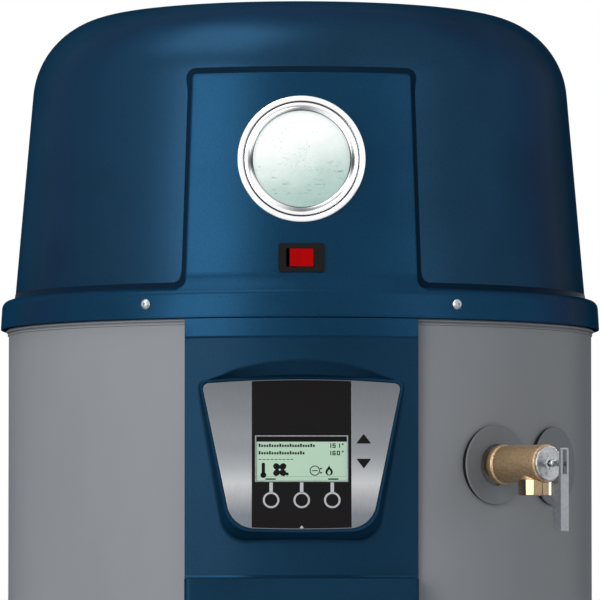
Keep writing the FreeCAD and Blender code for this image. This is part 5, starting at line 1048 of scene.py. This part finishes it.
def shadeRingProfile(hole):
    outer = port["radius"] - port["shadeRingIn"]
    return np.array([(hole, port["seat"]), (outer, port["seat"]), (outer, port["shadeRingTall"]), (hole, port["shadeRingTall"])])


newPiece("portPlates", [seated(plateProfile(hole), turn, height, ()) for turn, height, hole in port["places"]],
         "jacket_paint", stands=("port_escutcheons",), finish="plate_paint")
# the dark rings: painted shade under the plates' edges
newPiece("portShadeRings", [seated(shadeRingProfile(hole), turn, height, (0, 1)) for turn, height, hole in port["places"]],
         "rubber")
print("port plates made")

# Relief valve: cast barrel with a rolled collar, twelve sided outlet, silver cap, lever and stem ball;
# "collar" is radii and distances from its middle, "leverCut" is heights and distances out from the cap's face
valve = {"turn": 39.5, "drop": 147.0, "face": 85.0, "rise": 3.0, "stub": 12.2, "stubDeep": 30.0, "shank": 13.4,
         "barrel": 19.3, "collarAt": 14.6, "neck": 15.0, "neckStart": 4.0, "neckEnd": 13.0, "neckFlare": 2.5,
         "neckRound": 6.0, "outletAt": 62.4, "flats": 16.2, "sides": 12, "turnOutlet": -20.0, "outletTop": 16.0,
         "outletFoot": 32.0, "outletLap": 1.0, "bore": 12.2, "boreFoot": 40.0, "soft": 0.5, "leverSoft": 0.35,
         "leverWide": 12.0, "ball": 4.0, "ballUp": 5.2, "ballFlat": 0.8,
         "collar": ((13.4, -4.4), (20.4, -3.2), (20.4, 2.8), (18.7, 4.8), (19.3, 8.0)),
         "rounds": [0, 0, 0.2, 0.3, 1.0, 2.2, 1.9, 1.4, 3.0, 1.6, 0],
         "leverCut": ((-24.0, 5.0), (-20.0, 18.3), (-3.2, 19.3), (-2.1, 12.6), (2.1, 12.6), (3.2, 19.3),
                      (30.0, 19.3), (30.0, 5.0))}
# Its cap's face: a "point" and a "ridge" with their heights and widths, over a low crown
cap = {"radius": 17.5, "hole": 3.4, "edge": 1.0, "edgeRows": 8, "rows": 34, "turns": 144, "sunk": 0.2, "crown": 0.4,
       "point": 1.3, "pointWide": 6.5, "pointSquash": 0.75, "ridge": 0.8, "ridgeWide": 3.0, "ridgeSpread": 0.1,
       "ridgeSway": 1.2, "ridgeWave": 5.0, "ridgeReach": 13.0, "deep": 0.5}


def reliefCasting():
    # stub inside the jacket, shank, rolled collar and barrel
    v = valve
    end = v["face"] - v["rise"]
    points = [(0, -v["stubDeep"]), (v["stub"], -v["stubDeep"]), (v["stub"], 0), (v["shank"], 0)]
    points += [(radius, v["collarAt"] + out) for radius, out in v["collar"]] + [(v["barrel"], end), (0, end)]
    return solidSpin(roundedLine(points, v["rounds"], 6, [1] * 8 + [12, 6, 1]), onRelief, 128)


def outletForm():
    # a prism of equal flats
    v = valve
    outline = circle(v["flats"] / math.cos(math.pi / v["sides"]), v["sides"], (0, 0), 180 / v["sides"] + 90)
    return prismOf(outline, v["outletTop"], v["outletFoot"], downOutlet)


def outletNeck():
    # a round neck that flares into the barrel and laps into the outlet
    v = valve
    start, foot = v["neckStart"], v["outletTop"] + v["outletLap"]
    profile = roundedLine([(0, start), (v["neck"] + v["neckFlare"], start), (v["neck"], v["neckEnd"]),
                           (v["neck"], foot), (0, foot)], [0, 0, v["neckRound"], 0, 0], 6, 2)
    return solidSpin(profile, downOutlet)


def outletBore(top):
    return prismOf(circle(valve["bore"]), top, valve["boreFoot"], downOutlet)


def reliefCap():
    # face height: a low crown (r/R)^2, a four sided point 1 - (|x| + 0.75|y|) / wide, and a ridge exp(-(x/w)^2)
    # that sways down the face as sin(y); the edge rounds off as sqrt(1 - r^2)
    v, c = valve, cap
    inner = c["radius"] - c["edge"]
    radius = np.concatenate([np.linspace(c["hole"], inner, c["rows"]),
                             inner + c["edge"] * np.sin(np.radians(np.linspace(10, 90, c["edgeRows"])))])
    angle = np.linspace(0, 2 * math.pi, c["turns"], endpoint=False)[None, :]
    r = radius[:, None] + 0 * angle
    x, y = r * np.cos(angle), r * np.sin(angle)
    sway = (x - c["ridgeSway"] * np.sin(y / c["ridgeWave"])) / (c["ridgeWide"] + c["ridgeSpread"] * np.abs(y))
    ridge = np.exp(-sway ** 2) * np.exp(-(r / c["ridgeReach"]) ** 6)
    facet = np.clip(1 - (np.abs(x) + np.abs(y) * c["pointSquash"]) / c["pointWide"], 0, 1)
    edge = np.where(r > inner, -c["edge"] + np.sqrt(np.maximum(c["edge"] ** 2 - (r - inner) ** 2, 0)), 0)
    height = v["face"] - c["sunk"] + c["point"] * facet + c["ridge"] * ridge - c["crown"] * (r / c["radius"]) ** 2
    face = np.stack([x, y, height + edge], -1)
    inside, wall = face[:1].copy(), face[-1:].copy()
    inside[..., 2] = wall[..., 2] = v["face"] - v["rise"] - c["deep"]
    return [patch(onRelief(np.concatenate([inside, face, wall])), wrapRows=True, wrapCols=True)]


def leverCuts():
    # clears both cheeks in front of the cap, and leaves an ear round the pin
    outline = np.array(valve["leverCut"]) + [0, valve["face"]]
    cheeks = [np.concatenate([np.full((len(outline), 1), side * valve["leverWide"]), outline], 1) for side in (-1, 1)]
    return drum(onRelief(np.stack(cheeks)))


def stemBall(turns=40, rows=20):
    # profile r = R sin t, out = centre - flatness x R cos t
    v = valve
    turn = np.linspace(0, math.pi, rows + 1)
    out = v["face"] + v["ballUp"] - v["ball"] * v["ballFlat"] * np.cos(turn)
    return solidSpin(np.stack([v["ball"] * np.sin(turn), out], 1), onRelief, turns)


casting = newPiece("reliefCasting", reliefCasting(), "cast_brass", stands=("relief_body",))
carve(casting, outletNeck(), "UNION")
carve(casting, outletBore(20.0))
soften(casting, valve["soft"], 2, 40)
outlet = newPiece("reliefOutlet", outletForm(), "cast_brass", stands=("relief_body",), sharp=20,
                  finish="turned_brass")
carve(outlet, outletBore(10.0))
soften(outlet, valve["soft"], 2, 20)
newPiece("reliefCapFace", reliefCap(), "satin_steel", stands=("relief_cap",), sharp=50, finish="cap_silver")
lever = softCopy("relief_lever", "satin_steel", "relief_handle", width=0, finish="lever_steel")
carve(lever, leverCuts())
soften(lever, valve["leverSoft"], 2, 40)
newPiece("stemBall", stemBall(), "satin_steel", "relief_spindle", finish="cap_silver")
print("relief valve made")

# Badge: stepped chrome ring round a pale glass field; "steps" are radii and how far each lies under the ring's top
badge = {"up": 161.0, "proud": 3.2, "deep": 13.0, "field": 49.2, "fieldProud": 1.4, "fieldDeep": 8.0, "dome": 1.0,
         "steps": ((64.7, 0.9), (63.7, 0.1), (59.4, 0.1), (59.0, 1.5), (57.9, 1.5), (57.4, 0.0), (54.4, 0.3),
                   (53.9, 1.2), (51.4, -0.3), (49.6, 1.2), (49.3, 2.0)),
         "rounds": [0, 0.7, 0.5, 0.3, 0.4, 0.4, 0.9, 0.9, 0.5, 2.0, 0.4, 0.2, 0]}
badgeOut = np.array([0, -math.cos(lean), math.sin(lean)])
badgeBase = np.array([0, -(float(domeRadius(badge["up"])) + frontCover["proud"] / math.cos(lean)),
                      rimFoot + badge["up"]])


def onBadge(points):
    return placed(points, badgeBase, badgeOut)


def badgeRing():
    # the stepped face closed by straight walls at its two edges
    b = badge
    face = [(radius, b["proud"] - under) for radius, under in b["steps"]]
    back = [(face[0][0], -b["deep"]), (face[-1][0], -b["deep"])]
    profile = roundedLine(back[:1] + face + back[1:], b["rounds"], 7, [1, 1, 2] + [1] * 10, True)
    return solidSpin(profile, onBadge, 192, True)


def badgeField():
    # height rises to the middle by dome x (1 - t^2)
    b = badge
    t = np.linspace(1, 0, 30)
    face = np.stack([b["field"] * t, b["fieldProud"] + b["dome"] * (1 - t ** 2)], 1)
    return solidSpin(np.concatenate([[(0, -b["fieldDeep"]), (b["field"], -b["fieldDeep"])], face]), onBadge, 128)


newPiece("badgeRing", badgeRing(), "badge_chrome", stands=("badge_ring",), sharp=60)
newPiece("badgeField", badgeField(), "badge_face", stands=("badge_disc",), sharp=50)
softCopy("rocker_housing", "black_plastic", width=0.7)
softCopy("rocker_switch", "red_plastic", "rocker")
softCopy("cover_screws", "zinc", width=0.3)
print("badge and switch made")

# Control panel: brushed plate with an arched top, black strip, display and keys
panel = {"gauge": 1.5, "plateIn": 0.4, "halfStrip": 50.0, "topMargin": 1.5, "footMargin": 1.4, "gap": 0.3,
         "stripTop": -0.25, "stripSoft": 0.3, "edge": 0.35, "cutDeep": 5.0, "middle": -60.0, "lcdHalf": 46.85,
         "lcdTop": -58.5, "lcdFoot": -106.5, "lcdGap": 0.05, "border": 1.3, "glass": -1.0, "mark": 0.07,
         "markSunk": 0.02, "stripSteps": 24, "keyHole": 6.25, "keyRing": (8.25, 6.32), "tickHalf": 1.7,
         "tickFrom": 7.5, "tickGap": 0.4, "arrow": ((-7.1, -4.6), (7.1, -4.6), (0, 4.8)),
         "pointer": ((-2.0, 0.2), (2.0, 0.2), (0.25, 2.9), (-0.25, 2.9))}
roundKeys = ("left_key", "middle_key", "right_key")


def stripOutline(grow=0.0):
    # the plate's arch and belly between the strip's sides, moved in by the margins
    half = panel["halfStrip"] + grow
    ring = panelOutline()
    across = np.linspace(-half, half, panel["stripSteps"] + 1)
    ends = [side[np.argsort(side[:, 0])].T for side in (ring[ring[:, 1] > panel["middle"]],
                                                        ring[ring[:, 1] < panel["middle"]])]
    upper = np.interp(across, *ends[0]) - panel["topMargin"] + grow
    under = np.interp(across, *ends[1]) + panel["footMargin"] - grow
    return np.concatenate([np.stack([across, under], 1), np.stack([across, upper], 1)[::-1]])


def rectangle(left, foot, right, top):
    return np.array([(left, foot), (right, foot), (right, top), (left, top)], float)


def keySpot(node):
    # the middle of a key on the panel
    middle = np.add(*corners(node)) / 2 - panelBase
    return np.array([middle[0], middle @ panelUp])


def cutThrough(obj, outline):
    carve(obj, prismOf(outline, -panel["cutDeep"], panel["cutDeep"], onPanel))


bezel = newPiece("controlBezel", prismOf(panelOutline(-panel["plateIn"]), -panel["gauge"], 0.0, onPanel),
                 "brushed_stainless", stands=("control_bezel",))
cutThrough(bezel, stripOutline())
for node, sign in (("up_key", 1), ("down_key", -1)):
    cutThrough(bezel, (keySpot(node) + np.array(panel["arrow"]) * [1, sign])[::sign])
soften(bezel, panel["edge"], 2, 40, True)
strip = newPiece("controlStrip", prismOf(stripOutline(-panel["gap"]), -panel["gauge"], panel["stripTop"], onPanel),
                 "gloss_black", stands=("control_fascia",))
cutThrough(strip, rectangle(-panel["lcdHalf"] - panel["lcdGap"], panel["lcdFoot"] - panel["lcdGap"],
                            panel["lcdHalf"] + panel["lcdGap"], panel["lcdTop"] + panel["lcdGap"]))
for node in roundKeys:
    cutThrough(strip, circle(panel["keyHole"], 48, keySpot(node)))
soften(strip, panel["stripSoft"], 2, 40, True)
for node in roundKeys + ("up_key", "down_key"):
    softCopy(node, "gloss_black", "key_" + node.split("_")[0], width=0.3, segments=2)
softCopy("lcd_frame", "lcd_border", width=0.25, segments=2)
print("control panel made")

# Marks on the panel: thin raised ink. Places are on the panel, x across and y up from its top; "dashes" are rows
# of a count, left, foot, width, height and pitch, "level" is such a row without its count, and "blocks" are
# left, foot, right and top
ink = []
silver = []
display = {"header": 5.0, "numbers": ("151", "160"), "row": 11.4, "rowPitch": 7.6, "digitLeft": 26.6,
           "digitPitch": 4.4, "digit": (3.2, 4.6, 0.95), "degree": 0.9, "degreeAt": (41.3, 3.8),
           "level": (-43.2, 0.9, 1.8, 2.4, 2.6), "levels": (22, 18), "tallLevel": 1.0, "tallEach": 4,
           "dashes": ((9, -43.2, -83.4, 2.8, 0.7, 4.0), (56, -44.75, -101.0, 0.7, 0.4, 1.6),
                      (2, -36.4, -104.0, 10.4, 1.4, 63.0)),
           "stem": ((-40.2, -98.6), (-36.8, -98.6), (-36.8, -86.4), (-40.2, -86.4)), "stemRound": 1.6, "bulb": 3.0,
           "bulbAt": (-38.5, -99.2), "fanAt": (-22.0, -93.6), "blades": 4, "blade": (8.0, 6.4),
           "dial": (5.2, 4.3), "dialAt": (13.2, -94.6), "flameAt": (27.6, -94.6),
           "blocks": ((-15.6, -99.6, -13.2, -96.6), (10.4, -95.1, 16.0, -94.2), (18.4, -93.2, 20.4, -91.8),
                      (18.4, -97.4, 20.4, -96.0)),
           "flame": ((0, -5.2), (2.9, -3.9), (3.8, -1.3), (2.9, 1.1), (1.2, 2.9), (0.2, 5.5), (-1.5, 2.8),
                     (-3.2, 0.6), (-3.8, -1.7), (-2.7, -4.1)),
           "heart": ((0, -4.4), (1.2, -3.6), (1.7, -2.0), (1.3, -0.6), (0.6, 0.4), (0.1, 1.2), (-0.7, 0.3),
                     (-1.4, -0.8), (-1.7, -2.2), (-1.2, -3.7))}
segments = {"0": "abcdef", "1": "bc", "5": "afgcd", "6": "afgedc"}


def mark(store, outline, level=panel["glass"]):
    # a flat outline raised a hair over the glass or the strip
    store += prismOf(np.asarray(outline, float), level - panel["markSunk"], level + panel["mark"], onPanel)


def markRing(store, outer, inner, level=panel["glass"]):
    # a raised band between two outlines that have as many points
    low, high = level - panel["markSunk"], level + panel["mark"]
    ring = np.stack([raised(outer, low), raised(outer, high), raised(inner, high), raised(inner, low)])
    store.append(patch(onPanel(ring), wrapRows=True, wrapCols=True))


def dashes(count, left, foot, wide, tall, pitch, taller=0.0):
    # a row of equal bars; the first of each few may be taller
    for i in range(count):
        top = foot + tall + (taller if i % display["tallEach"] == 0 else 0)
        mark(ink, rectangle(left + pitch * i, foot, left + pitch * i + wide, top))


def digit(left, foot, numeral):
    # a seven bar numeral
    wide, tall, thick = display["digit"]
    right, top, mid = left + wide, foot + tall, foot + tall / 2
    places = {"a": (left, top - thick, right, top), "b": (right - thick, mid, right, top),
              "c": (right - thick, foot, right, mid), "d": (left, foot, right, foot + thick),
              "e": (left, foot, left + thick, mid), "f": (left, mid, left + thick, top),
              "g": (left, mid - thick / 2, right, mid + thick / 2)}
    for name in segments[numeral]:
        mark(ink, rectangle(*places[name]))


def petal(centre, turn, long, wide):
    # blade: half width wide / 2 x sin(pi s)^0.6 at a share s of its length, its root and tip cut off
    share = np.linspace(0, 1, 11)
    half = wide / 2 * np.sin(math.pi * (0.08 + 0.84 * share)) ** 0.6
    along = long * (0.12 + 0.88 * share)
    flat = np.concatenate([np.stack([along, half], 1), np.stack([along, -half], 1)[::-1]])[::-1]
    cos, sin = math.cos(turn), math.sin(turn)
    return flat @ np.array([[cos, sin], [-sin, cos]]) + centre


def drawDisplay():
    d, p = display, panel
    half, top = p["lcdHalf"] - p["border"], p["lcdTop"] - p["border"]
    mark(ink, rectangle(-half, top - d["header"], half, top))
    # two lines: steps of a level bar, a number and its degree dot
    for row, number in enumerate(d["numbers"]):
        base = top - d["row"] - d["rowPitch"] * row
        for i, numeral in enumerate(number):
            digit(d["digitLeft"] + d["digitPitch"] * i, base, numeral)
        mark(ink, circle(d["degree"], 20, (d["degreeAt"][0], base + d["degreeAt"][1])))
        left, up, wide, tall, pitch = d["level"]
        dashes(d["levels"][row], left, base + up, wide, tall, pitch, d["tallLevel"])
    for row in d["dashes"]:
        dashes(*row)
    for block in d["blocks"]:
        mark(ink, rectangle(*block))
    # thermometer, fan, gauge, and a flame with its heart left open
    mark(ink, roundedLine(d["stem"], [0, 0, d["stemRound"], d["stemRound"]], 5, 1, True))
    mark(ink, circle(d["bulb"], 28, d["bulbAt"]))
    for i in range(d["blades"]):
        mark(ink, petal(d["fanAt"], math.radians(45 + 360 / d["blades"] * i), *d["blade"]))
    outer, inner = d["dial"]
    mark(ink, np.concatenate([circle(outer, 40, d["dialAt"], 0, 359.9),
                              circle(inner, 40, d["dialAt"], 359.9, -359.9)]))
    markRing(ink, np.add(d["flame"], d["flameAt"]), np.add(d["heart"], d["flameAt"]))


def drawKeys():
    # a ring round each round key, a tick up from it to the display, and a pointer at the strip's foot
    p, level = panel, panel["stripTop"]
    for node in roundKeys:
        x, y = keySpot(node)
        markRing(silver, *[circle(radius, 64, (x, y)) for radius in p["keyRing"]], level)
        mark(silver, rectangle(x - p["tickHalf"], y + p["tickFrom"], x + p["tickHalf"], p["lcdFoot"] - p["tickGap"]),
             level)
    mark(silver, stripOutline()[p["stripSteps"] // 2] + np.array(p["pointer"]), level)


drawDisplay()
drawKeys()
newPiece("displayMarks", ink, "gloss_black", finish="ink")
newPiece("keyMarks", silver, "lcd_border", finish="silver_ink")
print("marks made")

# Junction box, drain and base pan keep their solids, with edges rounded
for node, slotName, body, width in (("junction_box", "jacket_paint", "root", 0.5),
                                    ("junction_box_cover", "jacket_paint", "root", 0.5),
                                    ("base_pan", "pan_steel", "root", 0.8),
                                    ("drain_valve_knob", "black_plastic", "drain_knob", 0.5),
                                    ("drain_valve_body", "cast_brass", "root", 0.3)):
    softCopy(node, slotName, body, width)
print("fittings made")

# Every CAD solid that stays takes the finish of its slot, but for these three
plated = {"relief_stem": "cap_silver", "relief_lever_pin": "cap_silver", "water_nipples": "pan_steel"}
for node, obj in frame["nodes"].items():
    for place in obj.material_slots:
        place.material = finishes[plated.get(node, slotOf[node])]
print("finishes given to", len(frame["nodes"]), "nodes")

# Studio: pale floor, white surround for the camera and for gloss, soft lamps; sizes here are metres and watts
studio = {"floor": 9.0, "floorDrop": 0.0005, "floorColour": (232, 233, 234), "floorShade": (226, 228, 230),
          "floorRough": 0.9, "ambient": 0.16, "ambientColour": (0.97, 0.985, 1.0, 1.0), "aim": (0, 0, 1.3),
          "lamps": {"key": {"turn": -36, "far": 3.4, "up": 1.8, "wide": 1.8, "tall": 2.6, "power": 53},
                    "front": {"turn": -20, "far": 4.2, "up": 2.6, "wide": 2.4, "tall": 1.6, "power": 62,
                              "mirrored": False},
                    "over": {"turn": -48, "far": 1.2, "up": 3.4, "wide": 1.4, "tall": 1.4, "power": 18},
                    "side": {"turn": 135, "far": 3.4, "up": 1.6, "wide": 1.2, "tall": 2.4, "power": 12,
                             "lights": False},
                    "fill": {"turn": 66, "far": 3.6, "up": 1.6, "wide": 1.2, "tall": 2.4, "power": 24,
                             "mirrored": False},
                    "spark": {"turn": 46, "far": 3.6, "up": 1.6, "wide": 0.9, "tall": 2.8, "power": 8},
                    "back": {"turn": 165, "far": 3.6, "up": 2.6, "wide": 2.0, "tall": 1.6, "power": 60}}}


def makeFloor():
    grid = np.linspace(-studio["floor"] / 2, studio["floor"] / 2, 9)
    x, y = np.meshgrid(grid, grid, indexing="ij")
    mesh = bpy.data.meshes.new("floor")
    points, faces = patch(np.stack([x, y, 0 * x - studio["floorDrop"]], -1))
    mesh.from_pydata(points, [], faces.tolist())
    finish = Finish("floorPaper")
    paper = finish.blend(finish.noise(2.0), screen(*studio["floorColour"]), screen(*studio["floorShade"]))
    mesh.materials.append(finish.done(Base_Color=paper, Roughness=studio["floorRough"]))
    linked("floor", mesh)


def makeWorld():
    # dim light on matt surfaces, plain white where the camera, gloss or glass looks
    world = bpy.data.worlds.new("studio")
    bpy.context.scene.world = world
    nodes = Nodes(world)
    camera, gloss, glass = [nodes.add("ShaderNodeLightPath", out=name)
                            for name in ("Is Camera Ray", "Is Glossy Ray", "Is Transmission Ray")]
    dim = nodes.add("ShaderNodeBackground", None, {"Color": studio["ambientColour"], "Strength": studio["ambient"]})
    white = nodes.add("ShaderNodeBackground", None, {"Color": (1, 1, 1, 1), "Strength": 1.0})
    mix = nodes.add("ShaderNodeMixShader", None, {0: camera.most(gloss).most(glass), 1: dim, 2: white})
    nodes.add("ShaderNodeOutputWorld", None, {"Surface": mix})


def aimAt(name, data, place, target):
    # an object at a place, its -Z axis towards the target
    obj = linked(name, data)
    out = np.asarray(place, float) - target
    out /= np.linalg.norm(out)
    side = np.cross((0, 0, 1), out)
    side /= np.linalg.norm(side)
    matrix = np.eye(4)
    matrix[:3] = np.stack([side, np.cross(out, side), out, place], 1)
    obj.matrix_world = Matrix(matrix.tolist())
    return obj


def makeLamps():
    for name, lamp in studio["lamps"].items():
        data = bpy.data.lights.new(name, "AREA")
        data.shape = "RECTANGLE"
        data.size, data.size_y, data.energy = lamp["wide"], lamp["tall"], lamp["power"]
        obj = aimAt(name, data, radial(lamp["turn"]) * lamp["far"] + [0, 0, lamp["up"]], studio["aim"])
        obj.visible_glossy = lamp.get("mirrored", True)
        obj.visible_diffuse = lamp.get("lights", True)


makeFloor()
makeWorld()
makeLamps()

# Camera: heights are from the rim's foot, in metres
view = {"far": 6.33, "left": 0.033, "below": 0.284, "aimAbove": 0.033, "lens": 359.0, "sensor": 36.0, "clip": 60.0}
lensData = bpy.data.cameras.new("camera")
lensData.lens = view["lens"]
lensData.sensor_width = view["sensor"]
lensData.clip_end = view["clip"]
level = rimFoot * mm
bpy.context.scene.camera = aimAt("camera", lensData, (-view["left"], -view["far"], level - view["below"]),
                                 (0, 0, level + view["aimAbove"]))
bpy.context.scene.view_settings.view_transform = "Standard"
print("studio and camera made")
